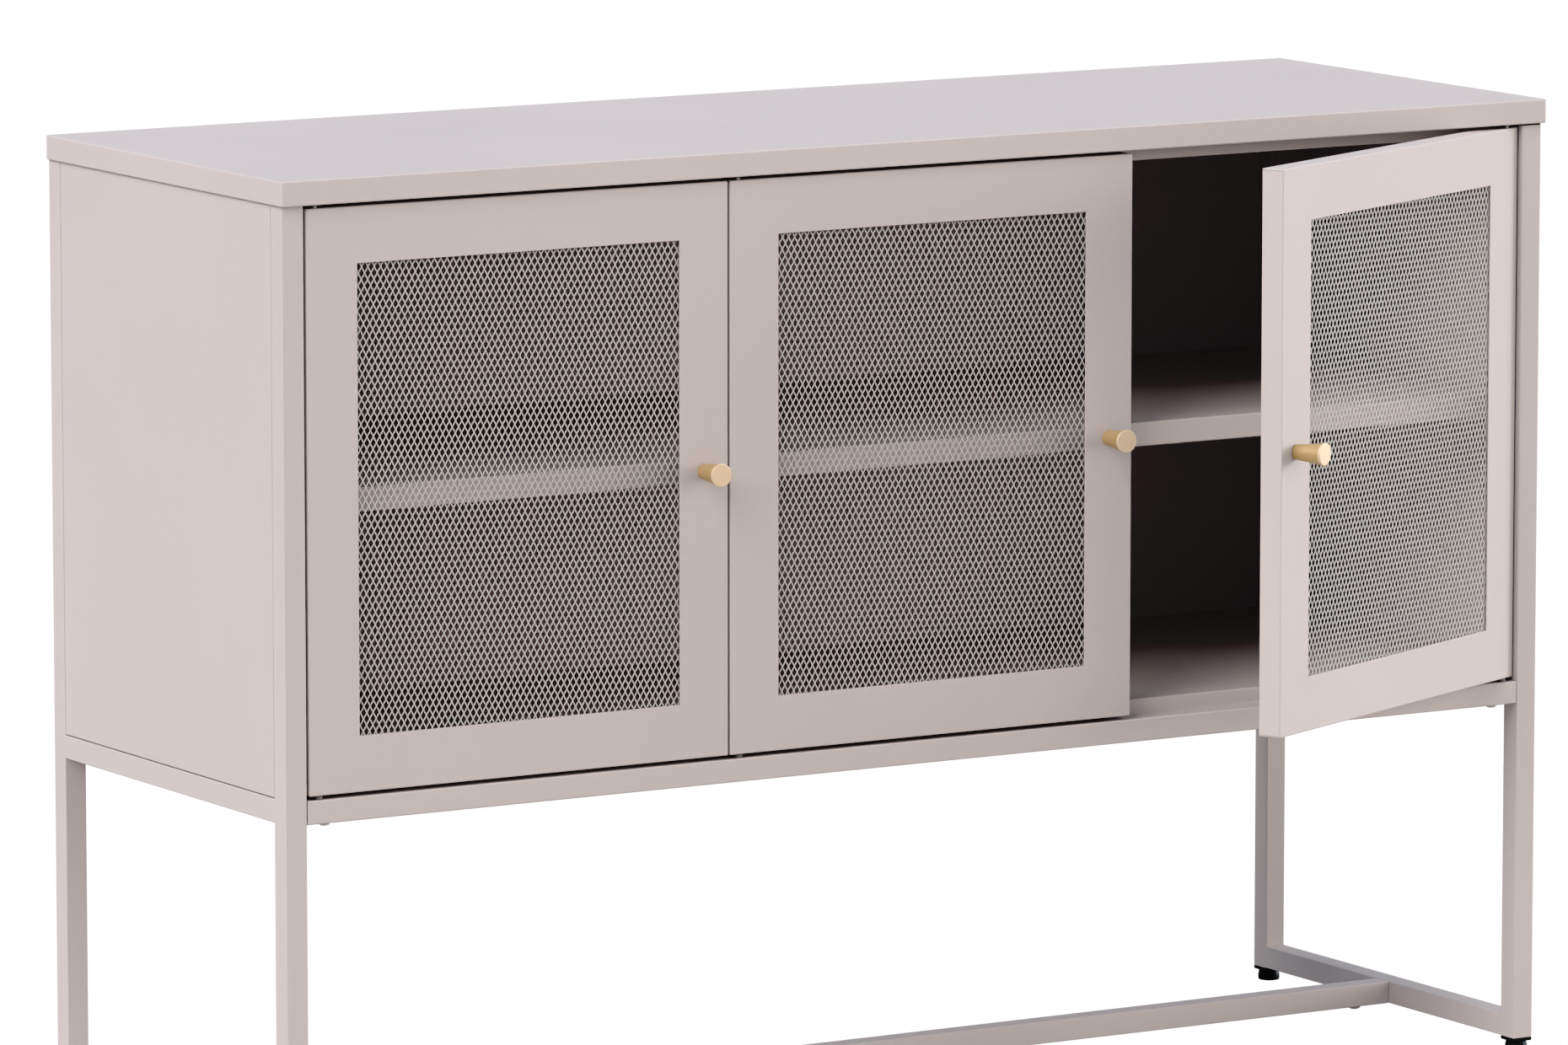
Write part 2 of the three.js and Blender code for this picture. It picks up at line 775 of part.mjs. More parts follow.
// A flat plate with rows of diamonds, each row half a pitch off the last.
function doorMesh({ word, reach }) {
  const plate = rectangle(windowWidth + 2 * meshBorderWidth, windowHeight + 2 * meshBorderWidth);
  for (let row = 0; row <= 2 * meshRows; row += 1) {
    for (let column = row % 2; column <= 2 * meshColumns; column += 2) {
      plate.holes.push(diamond(column, row));
    }
  }
  const geometry = extruded(plate, meshThickness).translate(0, 0, -meshThickness);
  const mesh = turnedTo(geometry, "XZ").translate(reach * doorCentre, meshFront, doorMiddle);
  return part(word + "_mesh", mesh, paintedMesh());
}

function meshFrame({ word, reach }) {
  const width = windowWidth + 2 * meshFrameInset;
  const height = windowHeight + 2 * meshFrameInset;
  const outline = rectangle(width + 2 * meshFrameWidth, height + 2 * meshFrameWidth);
  outline.holes.push(rectangle(width, height));
  const frame = turnedTo(extruded(outline, sheetThickness), "XZ");
  frame.translate(reach * doorCentre, meshFrameFront + sheetThickness, doorMiddle);
  return part(word + "_mesh_frame", frame, paintedSteel());
}

// A knob that flares from its base to a flat tip, with a blind bore for its screw.
function knob({ word, reach }) {
  const flareLength = knobLength - knobChamfer;
  const flare = knobFlareShares.map(([lengthShare, flareShare]) => [
    THREE.MathUtils.lerp(knobBaseDiameter, knobTipDiameter, flareShare) / 2,
    THREE.MathUtils.lerp(seatGap, flareLength, lengthShare),
  ]);
  const profile = [
    [0, knobBoreDepth],
    [knobScrewHole, knobBoreDepth],
    [knobScrewHole, seatGap],
    ...flare,
    [knobTipDiameter / 2 - knobChamfer, knobLength],
    [0, knobLength],
  ];
  const body = lathed(profile, knobSegments).rotateX(Math.PI / 2);
  return part(word + "_knob", body.translate(reach * knobPlace, doorFront, doorMiddle), satinBrass());
}

function knobScrew({ word, reach }) {
  const length = seatGap + sheetThickness + knobScrewReach;
  const screw = domedScrew(knobScrewHeadDiameter, knobScrewHeadHeight, knobScrewDiameter, length);
  screw.rotateX(Math.PI / 2).translate(reach * knobPlace, skinBack + seatGap, doorMiddle);
  return part(word + "_knob_screw", screw, zincSteel());
}

// A pin that stands on +Z, with its head inside the door below zero.
function pivotPin() {
  const radius = pinDiameter / 2;
  const tip = seatGap + sheetThickness + pinReach;
  return lathed(
    [
      [0, -pinHeadThickness],
      [pinHeadDiameter / 2, -pinHeadThickness],
      [pinHeadDiameter / 2, 0],
      [radius, 0],
      [radius, tip - pinChamfer],
      [radius - pinChamfer, tip],
      [0, tip],
    ],
    smallSegments,
  );
}

function topPin({ word }) {
  const pin = pivotPin().translate(0, 0, doorTop - sheetThickness - seatGap);
  return part(word + "_top_pin", pin, zincSteel());
}

function bottomPin({ word }) {
  const pin = pivotPin().rotateX(Math.PI).translate(0, 0, doorBottom + sheetThickness + seatGap);
  return part(word + "_bottom_pin", pin, zincSteel());
}

function magnet({ word, reach }) {
  const outline = rectangle(magnetLength, magnetHeight, magnetCornerRadius);
  const bar = turnedTo(extruded(outline, magnetThickness), "XZ");
  bar.translate(reach * magnetPlace, doorRear + seatGap + magnetThickness, magnetMiddle);
  return part(word + "_magnet", bar, blackPlastic());
}

function door(spec) {
  const group = new THREE.Group();
  const pieces = [doorShell, doorMesh, meshFrame, knob, knobScrew, topPin, bottomPin, magnet];
  group.add(...pieces.map((piece) => piece(spec)));
  group.position.set(spec.x, hingeDepth, 0);
  group.rotation.z = -spec.reach * spec.open;
  return group;
}

// The whole piece of furniture

function sideboard() {
  const group = new THREE.Group();
  group.add(topPanel(), backPanel(), basePanel(), topStopRail(), shelf(), stretcher());
  for (const side of sides) {
    group.add(sideRail(side), bottomRail(side), sidePanel(side), stretcherBolt(side));
  }
  for (const corner of corners) {
    group.add(leg(corner), baseScrew(corner), legCap(corner), levellingFoot(corner));
  }
  for (const spec of doors) group.add(topBush(spec), bottomBush(spec), door(spec));
  return group;
}

// The origin is the middle of the footprint on the floor, with the open door counted in.
const root = sideboard();
const bounds = new THREE.Box3().setFromObject(root, true);
const middle = bounds.getCenter(new THREE.Vector3());
root.position.set(-middle.x, -middle.y, -bounds.min.z);

export default root;
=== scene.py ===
import json
import math

import bmesh
import bpy
from mathutils import Matrix, Vector


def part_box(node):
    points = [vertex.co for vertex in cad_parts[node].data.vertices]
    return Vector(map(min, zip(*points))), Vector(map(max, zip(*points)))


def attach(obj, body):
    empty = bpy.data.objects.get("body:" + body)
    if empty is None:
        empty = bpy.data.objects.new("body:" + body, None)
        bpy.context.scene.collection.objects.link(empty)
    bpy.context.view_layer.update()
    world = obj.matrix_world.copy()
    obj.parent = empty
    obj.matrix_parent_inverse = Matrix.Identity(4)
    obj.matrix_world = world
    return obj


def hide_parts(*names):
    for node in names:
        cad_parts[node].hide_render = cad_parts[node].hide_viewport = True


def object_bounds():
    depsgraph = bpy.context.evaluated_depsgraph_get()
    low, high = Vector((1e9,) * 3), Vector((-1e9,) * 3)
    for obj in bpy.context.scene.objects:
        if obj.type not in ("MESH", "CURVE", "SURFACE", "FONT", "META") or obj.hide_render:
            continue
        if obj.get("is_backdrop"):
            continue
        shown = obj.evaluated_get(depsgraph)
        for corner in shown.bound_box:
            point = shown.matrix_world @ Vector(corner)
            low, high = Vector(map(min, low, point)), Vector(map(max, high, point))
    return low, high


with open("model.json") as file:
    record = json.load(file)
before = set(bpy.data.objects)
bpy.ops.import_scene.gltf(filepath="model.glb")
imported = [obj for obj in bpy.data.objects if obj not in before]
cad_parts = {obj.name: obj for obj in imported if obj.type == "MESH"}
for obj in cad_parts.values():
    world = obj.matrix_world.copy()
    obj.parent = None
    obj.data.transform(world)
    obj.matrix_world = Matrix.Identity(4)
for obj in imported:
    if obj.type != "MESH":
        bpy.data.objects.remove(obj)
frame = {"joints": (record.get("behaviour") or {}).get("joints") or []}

CAD_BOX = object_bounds()

bl_info = {
    "name": "Mesh-door sideboard",
    "version": (1, 0, 0),
    "blender": (4, 5, 0),
    "location": "3D View > Sidebar > Sideboard",
    "description": "Folds, welds and finishes the sheet-metal sideboard round its packed frame",
    "category": "Object",
}

MM = 0.001
SPARE = 2 * MM
SAME_PLACE = 0.002 * MM
SHARP_ANGLE = math.radians(32)
STRAIGHT_ON = -0.9999

DOORS = ("left_door", "middle_door", "right_door")
SIDES = ((-1, "left"), (1, "right"))
CORNERS = ("left_front", "left_rear", "right_front", "right_rear")
QUARTERS = ((-1, -1), (1, -1), (1, 1), (-1, 1))
BEND_STEPS = 4
ROUND_SEGMENTS = 32

X = Vector((1, 0, 0))
Y = Vector((0, 1, 0))
Z = Vector((0, 0, 1))

JOINTS = {joint["name"]: joint for joint in frame["joints"]}


# Settings

def size(name, description, millimetres):
    """A length that a user would change, with its default in millimetres"""
    return bpy.props.FloatProperty(
        name=name, description=description, default=millimetres * MM, unit="LENGTH", precision=5
    )


def colour(name, description, value):
    """A colour that a user would change, with its default in linear light"""
    return bpy.props.FloatVectorProperty(
        name=name, description=description, default=value, subtype="COLOR", min=0, max=1
    )


def strength(name, description, value):
    """A light's strength"""
    return bpy.props.FloatProperty(name=name, description=description, default=value, min=0)


def angle(name, description, degrees):
    """An angle, with its default in degrees"""
    return bpy.props.FloatProperty(
        name=name, description=description, default=math.radians(degrees), subtype="ANGLE"
    )


class SheetSizes(bpy.types.PropertyGroup):
    """Stock and folds of the sheet-metal pieces"""

    sheet: size("Sheet", "Thickness of the steel sheet", 1.0)
    bend: size("Bend", "Inside radius of a fold", 0.2)
    cut_edge: size("Cut edge", "Radius that the paint leaves on a cut edge", 0.25)
    rail_play: size("Rail play", "Extra gap at each end of the base's rails", 0.4)
    gap: size("Gap", "Gap that the frame keeps between two pieces", 0.3)
    flange: size("Flange", "Depth of the folds round the side and back panels", 15)
    corner: size("Corner", "Radius of the corners of the panels and the shelf", 0.4)
    door_corner: size("Door corner", "Radius of a door's outer corners", 1.1)
    top_corner: size("Top corner", "Radius of the top's outer corners", 2.0)
    top_return: size("Top return", "Width of the fold under the top's edge", 16)
    shelf_return: size("Shelf return", "Width of the fold under the shelf's edge", 12)
    door_return: size("Door return", "Width of the fold behind a door's edge", 14)
    rail_return: size("Rail return", "Width of the fold under the front and rear rails", 18)
    window_margin: size("Window margin", "Width of a door's face round its window", 45)
    frame_inset: size("Frame inset", "How far a mesh frame stands back from the window", 1.5)
    frame_corner: size("Frame corner", "Radius of a mesh frame's corners", 1.5)
    ledge_drop: size("Ledge drop", "How far the ledge under the doors lies below the floor", 12)
    stop_setback: size("Stop setback", "How far the door stop stands behind the door face", 24.5)
    seam: size("Seam", "Width of a folded corner's seam", 0.28)
    seam_depth: size("Seam depth", "Depth of a folded corner's seam", 0.6)


class TubeSizes(bpy.types.PropertyGroup):
    """Square tube, and what is welded to it"""

    wall: size("Wall", "Wall of the square tube", 1.2)
    corner: size("Corner", "Outside corner radius of the square tube", 1.0)
    settling: size("Settling", "How much lower the right legs stand under the top", 1.2)
    play: size("Play", "Extra gap at each end of the stretcher", 0.35)
    tongue: size("Tongue", "How far a tongue reaches into the stretcher", 42)
    tongue_wall: size("Tongue wall", "Thickness of the tongue's steel", 1.6)
    tab_length: size("Tab length", "Length of a screw tab on a leg", 30)
    tab_width: size("Tab width", "Width of a screw tab on a leg", 13)
    tab_thickness: size("Tab thickness", "Thickness of a screw tab", 2)
    bracket_width: size("Bracket width", "Width of a shelf bracket", 24)
    bracket_reach: size("Bracket reach", "How far a shelf bracket reaches under the shelf", 28)
    bracket_drop: size("Bracket drop", "Height of a shelf bracket", 18)
    bracket_inset: size("Bracket inset", "Place of a shelf bracket from a side panel's end", 42)


class MeshSizes(bpy.types.PropertyGroup):
    """The expanded mesh of the doors"""

    cell_width: size("Cell width", "Pitch of the diamonds across the door", 5.67)
    cell_height: size("Cell height", "Pitch of the diamonds up the door", 9.95)
    strand: size("Strand", "Width of a strand", 1.15)
    thickness: size("Thickness", "Thickness of the flattened mesh", 0.4)
    joint: size("Joint", "Height of the upright edge where two strands meet", 1.3)
    bond: size("Bond", "Height of a joint between the tips of two diamonds", 1.6)
    widening: size("Widening", "How much wider than the strands a joint is on each side", 0.08)
    overlap: size("Overlap", "How far the mesh reaches behind the window's edge", 4)
    merge: size("Merge", "Distance within which the strands' ends are joined", 0.02)
    turn: angle("Turn", "How far the rows of diamonds drop to the right", 1.9)


class KnobSizes(bpy.types.PropertyGroup):
    """The turned knobs"""

    base: size("Base", "Diameter of a knob at the door", 12.5)
    polish: size("Polish", "What turning and polishing take off a knob all round", 0.1)
    chamfer: size("Chamfer", "Bevel round a knob's face", 0.7)
    bow: bpy.props.FloatProperty(
        name="Bow", description="How hollow the flare is, from 0 for a cone", default=0.32
    )


class FastenerSizes(bpy.types.PropertyGroup):
    """Screws, bolts, pins, bushes, spot welds and catches"""

    shank: size("Shank", "Diameter of a screw's shank", 4)
    pin: size("Pin", "Diameter of a pivot pin", 4)
    pin_clearance: size("Pin clearance", "Gap between a pin and its bush", 0.3)
    pin_head: size("Pin head", "Thickness of a pin's head", 1.5)
    pin_edge: size("Pin edge", "Bevel of a pin's end", 0.6)
    bush_wall: size("Bush wall", "Wall of a bush", 0.9)
    bush_edge: size("Bush edge", "Bevel of a bush's edges", 0.2)
    collar: size("Collar", "Height of a top bush's collar", 1.2)
    recess: size("Recess", "Width of a cross recess's arms", 1.1)
    recess_depth: size("Recess depth", "Depth of a cross recess", 1.3)
    socket: size("Socket", "Width across the flats of a bolt's socket", 4)
    weld: size("Weld", "Diameter of a spot weld's mark", 3.6)
    weld_height: size("Weld height", "Height of a spot weld's mark", 0.22)
    weld_pitch: size("Weld pitch", "Pitch of the spot welds", 58)
    catch_corner: size("Catch corner", "Radius of a catch's corners", 1.5)
    catch_bevel: size("Catch bevel", "Bevel round a catch's face", 0.4)


class FootSizes(bpy.types.PropertyGroup):
    """Leg caps and levelling feet"""

    rounding: size("Rounding", "Rounding of the moulded edges", 0.5)
    stem: size("Stem", "Diameter of a foot's threaded stem", 8)
    disc_height: size("Disc height", "Height of a foot's disc", 8.7)
    thread_pitch: size("Thread pitch", "Pitch of the stem's thread", 1.25)
    thread_depth: size("Thread depth", "Depth of the stem's thread", 0.6)


class Finishes(bpy.types.PropertyGroup):
    """Colours of the finishes"""

    paint: colour("Paint", "Powder coat of the body", (0.63, 0.56, 0.55))
    mesh_paint: colour("Mesh paint", "Powder coat of the mesh", (0.595, 0.56, 0.537))
    # The flare's darker brass is partly painted shade from the door and partly a real difference from
    # the paler faced disc
    brass: colour("Brass", "Satin metal at the foot of the knobs", (0.56, 0.375, 0.19))
    brass_face: colour("Brass face", "Satin metal of the knobs' faces", (0.84, 0.645, 0.45))
    zinc: colour("Zinc", "Plate on screws and pins", (0.66, 0.63, 0.6))
    # The nylon's dark colour is painted shade: the white bushes are seen only in shade under the doors
    nylon: colour("Nylon", "Bushes of the pivots", (0.2, 0.18, 0.165))
    black: colour("Black", "Moulded caps, feet and catches", (0.012, 0.012, 0.013))


class StudioSettings(bpy.types.PropertyGroup):
    """Camera, floor and lights"""

    place: bpy.props.FloatVectorProperty(
        name="Camera", description="Place of the camera", subtype="TRANSLATION",
        default=(-4.5138, -7.35148, 1.73565),
    )
    azimuth: angle("Azimuth", "How far the camera looks to the right of straight on", 31.1185)
    pitch: angle("Pitch", "How far the camera looks down", 8.264)
    lens: bpy.props.FloatProperty(
        name="Lens", description="Focal length on a frame 36 mm wide", default=244.29, min=1
    )
    left_light: strength("Left light", "Soft light from the upper left", 2.62)
    right_light: strength("Right light", "Soft light that grazes the front from the right", 2.95)
    front_light: strength("Front light", "Weak warm light from the front right", 0.82)
    back_light: strength("Back light", "Weak bluish light from behind", 0.3)
    ambient: strength("Ambient", "Even light from all round", 0.48)
    ambient_tint: colour("Ambient tint", "Tint of the even light", (0.77, 0.9, 1.0))
    toe: bpy.props.FloatVectorProperty(
        name="Toe", description="Brightness in each colour round which dark tones are pulled down",
        default=(0.069, 0.06, 0.056), min=0, max=1,
    )
    floor: colour("Floor", "Colour of the floor as the camera sees it", (1.0, 1.0, 1.0))
    floor_glow: strength("Floor glow", "How bright the camera sees the floor", 1.02)
    floor_bounce: strength("Floor bounce", "Share of the light that the floor throws back", 0.48)
    bounce_tint: colour("Bounce tint", "Tint of the light that the floor throws back", (1.0, 0.93, 0.87))


# Outlines

def arc_corner(before, at, after, radius, steps):
    """The points that round one corner of an outline, as many as for any other radius"""
    into = (before - at).normalized()
    away = (after - at).normalized()
    if radius <= 0 or into.dot(away) < STRAIGHT_ON:
        return [at.copy() for _ in range(steps + 1)]
    half = math.acos(into.dot(away)) / 2
    centre = at + (into + away).normalized() * (radius / math.sin(half))
    start = at + into * (radius / math.tan(half)) - centre
    finish = at + away * (radius / math.tan(half)) - centre
    turn = math.atan2(start.cross(finish), start.dot(finish))
    return [centre + Matrix.Rotation(turn * i / steps, 2) @ start for i in range(steps + 1)]


def rounded_outline(corners, steps):
    """A closed outline from pairs of a point and its radius"""
    points = []
    for i, (at, radius) in enumerate(corners):
        before = corners[i - 1][0]
        after = corners[(i + 1) % len(corners)][0]
        points += arc_corner(before, at, after, radius, steps)
    return points


def folded_outline(path, sizes, plain_start=False):
    """The section of a folded sheet: its face follows the path, and the sheet lies to the left"""
    line = [Vector(point) for point in path]
    runs = [(b - a).normalized() for a, b in zip(line, line[1:])]
    near = []
    far = []
    for i, at in enumerate(line):
        before = runs[max(i - 1, 0)]
        after = runs[min(i, len(runs) - 1)]
        left_before = Vector((-before.y, before.x))
        left_after = Vector((-after.y, after.x))
        mitre = sizes.sheet / (1 + left_before.dot(left_after))
        turn = before.cross(after)
        if i in (0, len(line) - 1):
            near_radius = far_radius = 0 if plain_start and i == 0 else sizes.cut_edge
        elif turn > 0:
            near_radius, far_radius = sizes.bend + sizes.sheet, sizes.bend
        else:
            near_radius, far_radius = sizes.bend, sizes.bend + sizes.sheet
        near.append((at, near_radius))
        far.append((at + (left_before + left_after) * mitre, far_radius))
    return rounded_outline(near + far[::-1], BEND_STEPS)


def rectangle_ring(width, height, radius, steps):
    """A rectangle centred on zero, with the same count of points for any corner radius"""
    corners = [(Vector((a * width / 2, b * height / 2)), radius) for a, b in QUARTERS]
    return rounded_outline(corners, steps)


def lifted(ring, height):
    """A flat ring of points, put at a height"""
    return [Vector((point.x, point.y, height)) for point in ring]


def inset_rings(width, height, corner, profile, steps=BEND_STEPS):
    """A rectangle for each pair in a profile: how far it is set in, and how high it lies"""
    return [
        lifted(rectangle_ring(width - 2 * a, height - 2 * a, max(corner - a, 0), steps), b)
        for a, b in profile
    ]


def circle_like(ring, radius):
    """A circle with one point on the way to each point of a ring"""
    return [point.normalized() * radius for point in ring]


# Meshes

def loft(bm, rings, closed=False):
    """Skin rings of points; the last joins the first, or both ends get one flat face each"""
    made = [[bm.verts.new(point) for point in ring] for ring in rings]
    followers = made[1:] + made[:1] if closed else made[1:]
    for ring, follower in zip(made, followers):
        for i in range(len(ring)):
            j = (i + 1) % len(ring)
            bm.faces.new((ring[i], ring[j], follower[j], follower[i]))
    if not closed:
        bm.faces.new(made[0][::-1])
        bm.faces.new(made[-1])


def revolve(bm, profile, segments, closed=False):
    """Turn pairs of a radius and a height about the Z axis"""
    rings = []
    for radius, height in profile:
        turns = [2 * math.pi * i / segments for i in range(segments)]
        rings.append([Vector((radius * math.cos(t), radius * math.sin(t), height)) for t in turns])
    loft(bm, rings, closed)


def lofted(rings, closed=False):
    """A bmesh of skinned rings"""
    bm = bmesh.new()
    loft(bm, rings, closed)
    return bm


def turned(profile, segments, closed=False):
    """A bmesh of a profile turned about the Z axis"""
    bm = bmesh.new()
    revolve(bm, profile, segments, closed)
    return bm


def axes(across, up, depth, origin=(0, 0, 0)):
    """The matrix that takes a shape's own X, Y and Z to three directions of the frame"""
    matrix = Matrix((across, up, depth)).transposed().to_4x4()
    matrix.translation = Vector(origin)
    return matrix


def cleaned(bm):
    """Join the points that share a place and turn every face outwards"""
    bmesh.ops.remove_doubles(bm, verts=bm.verts, dist=SAME_PLACE)
    bmesh.ops.recalc_face_normals(bm, faces=bm.faces)


def add_object(name, data):
    """A new object in the scene, at the origin"""
    made = bpy.data.objects.new(name, data)
    bpy.context.scene.collection.objects.link(made)
    return made


def as_object(bm, name, matrix=None):
    """Put a bmesh into the frame as an object at the origin"""
    if matrix is not None:
        bm.transform(matrix)
    cleaned(bm)
    mesh = bpy.data.meshes.new(name)
    bm.to_mesh(mesh)
    bm.free()
    return add_object(name, mesh)


def add_block(bm, xs, ys, zs):
    """A block, from its two limits in each direction"""
    (left, right), (front, back), (bottom, top) = (sorted(pair) for pair in (xs, ys, zs))
    ring = [Vector((left, front)), Vector((right, front)), Vector((right, back)), Vector((left, back))]
    loft(bm, [lifted(ring, bottom), lifted(ring, top)])


def block(xs, ys, zs):
    """A bmesh of one block"""
    bm = bmesh.new()
    add_block(bm, xs, ys, zs)
    return bm


def drawn(outline, start, finish):
    """A bmesh of a section in Y and Z that runs along X"""
    return lofted([[Vector((x, point[0], point[1])) for point in outline] for x in (start, finish)])


def absorb(bm, part, matrix):
    """Place a bmesh and add it to another"""
    part.transform(matrix)
    mesh = bpy.data.meshes.new("part")
    part.to_mesh(mesh)
    part.free()
    bm.from_mesh(mesh)
    bpy.data.meshes.remove(mesh)


def add_to(piece, bm):
    """Add a bmesh to an object"""
    bm.from_mesh(piece.data)
    cleaned(bm)
    bm.to_mesh(piece.data)
    bm.free()


def move(piece, matrix):
    """Place a cut object, also by a matrix that mirrors it"""
    piece.data.transform(matrix)
    if matrix.determinant() < 0:
        piece.data.flip_normals()


def evaluated_mesh(made):
    """The mesh that an object's modifiers give"""
    bpy.context.view_layer.update()
    evaluated = made.evaluated_get(bpy.context.evaluated_depsgraph_get())
    return bpy.data.meshes.new_from_object(evaluated)


def combine(target, bm, operation):
    """Join a bmesh to an object, or cut the object by it"""
    tool = as_object(bm, "tool")
    boolean = target.modifiers.new("Boolean", "BOOLEAN")
    boolean.operation = operation
    boolean.solver = "EXACT"
    boolean.object = tool
    mesh = evaluated_mesh(target)
    target.modifiers.clear()
    target.data = mesh
    bpy.data.objects.remove(tool)


def cut(target, bm):
    """Cut an object by a bmesh"""
    combine(target, bm, "DIFFERENCE")


def weld(target, bm):
    """Join a bmesh to an object"""
    combine(target, bm, "UNION")


class Box:
    """A box in the frame, with its size and its middle"""

    def __init__(self, low, high):
        self.low = low
        self.high = high
        self.size = high - low
        self.middle = (low + high) / 2


def box(node):
    """The box of one of the frame's nodes"""
    return Box(*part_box(node))


def spots(nodes, height):
    """The middles of the boxes of nodes, put at one height"""
    return [(box(node).middle.x, box(node).middle.y, height) for node in nodes]


def dress(piece, body, slot, *nodes):
    """Finish a piece: soft bends, flat faces, its material, its body and the nodes it stands for"""
    mesh = piece.data
    mesh.materials.clear()
    mesh.materials.append(finish(slot))
    mesh.shade_smooth()
    mesh.set_sharp_from_angle(angle=SHARP_ANGLE)
    weighted = piece.modifiers.new("Flat faces", "WEIGHTED_NORMAL")
    weighted.keep_sharp = True
    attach(piece, body)
    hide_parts(*nodes)


# Geometry Nodes

def new_tree(name, inputs):
    """An empty tree with a geometry input, named inputs and a geometry output"""
    tree = bpy.data.node_groups.new(name, "GeometryNodeTree")
    tree.is_modifier = True
    face = tree.interface
    face.new_socket("Geometry", in_out="INPUT", socket_type="NodeSocketGeometry")
    for label, kind in inputs.items():
        face.new_socket(label, in_out="INPUT", socket_type="NodeSocket" + kind)
    face.new_socket("Geometry", in_out="OUTPUT", socket_type="NodeSocketGeometry")
    return tree, tree.nodes.new("NodeGroupInput").outputs


def add_node(tree, kind, inputs=None, **settings):
    """A node with its settings, whose inputs are values or other nodes' outputs"""
    node = tree.nodes.new(kind)
    for label, value in settings.items():
        setattr(node, label, value)
    for key, value in (inputs or {}).items():
        if isinstance(value, bpy.types.NodeSocket):
            tree.links.new(value, node.inputs[key])
        else:
            node.inputs[key].default_value = value
    return node


def maths(tree, operation, first, second=0.0):
    """The result of one sum"""
    node = add_node(tree, "ShaderNodeMath", {0: first, 1: second}, operation=operation)
    return node.outputs[0]


def run_tree(carrier, tree, values):
    """Run a tree on an object, leave the plain mesh in it, and take the modifier off"""
    modifier = carrier.modifiers.new(tree.name, "NODES")
    modifier.node_group = tree
    for item in tree.interface.items_tree:
        if item.in_out == "INPUT" and item.name in values:
            modifier[item.identifier] = values[item.name]
    mesh = evaluated_mesh(carrier)
    carrier.modifiers.clear()
    carrier.data = mesh


def real_copies(tree, unit, points, turn=(0, 0, 0)):
    """A real copy of an object at each point"""
    info = add_node(tree, "GeometryNodeObjectInfo", {"Object": unit})
    placed = add_node(tree, "GeometryNodeInstanceOnPoints", {
        "Points": points, "Instance": info.outputs["Geometry"], "Rotation": turn,
    })
    real = add_node(tree, "GeometryNodeRealizeInstances", {"Geometry": placed.outputs["Instances"]})
    return real.outputs["Geometry"]


def close_tree(tree, geometry, material):
    """Give what a tree made its material and send it out"""
    coated = add_node(tree, "GeometryNodeSetMaterial", {"Geometry": geometry, "Material": material})
    add_node(tree, "NodeGroupOutput", {"Geometry": coated.outputs["Geometry"]})
    return tree


def copies_tree():
    """The tree for a copy of one small piece at each point"""
    inputs = {"Unit": "Object", "Turn": "Vector", "Material": "Material"}
    tree, given = new_tree("Copies at points", inputs)
    made = real_copies(tree, given["Unit"], given["Geometry"], given["Turn"])
    return close_tree(tree, made, given["Material"])


def weld_row_tree():
    """The tree for spot welds at an even pitch round a rectangle"""
    inputs = {
        "Unit": "Object", "Width": "Float", "Height": "Float", "Pitch": "Float",
        "Material": "Material",
    }
    tree, given = new_tree("Row of spot welds", inputs)
    line = add_node(tree, "GeometryNodeCurvePrimitiveQuadrilateral", {
        "Width": given["Width"], "Height": given["Height"],
    })
    even = add_node(tree, "GeometryNodeResampleCurve", {
        "Curve": line.outputs["Curve"], "Length": given["Pitch"],
    }, mode="LENGTH")
    made = real_copies(tree, given["Unit"], even.outputs["Curve"])
    return close_tree(tree, made, given["Material"])


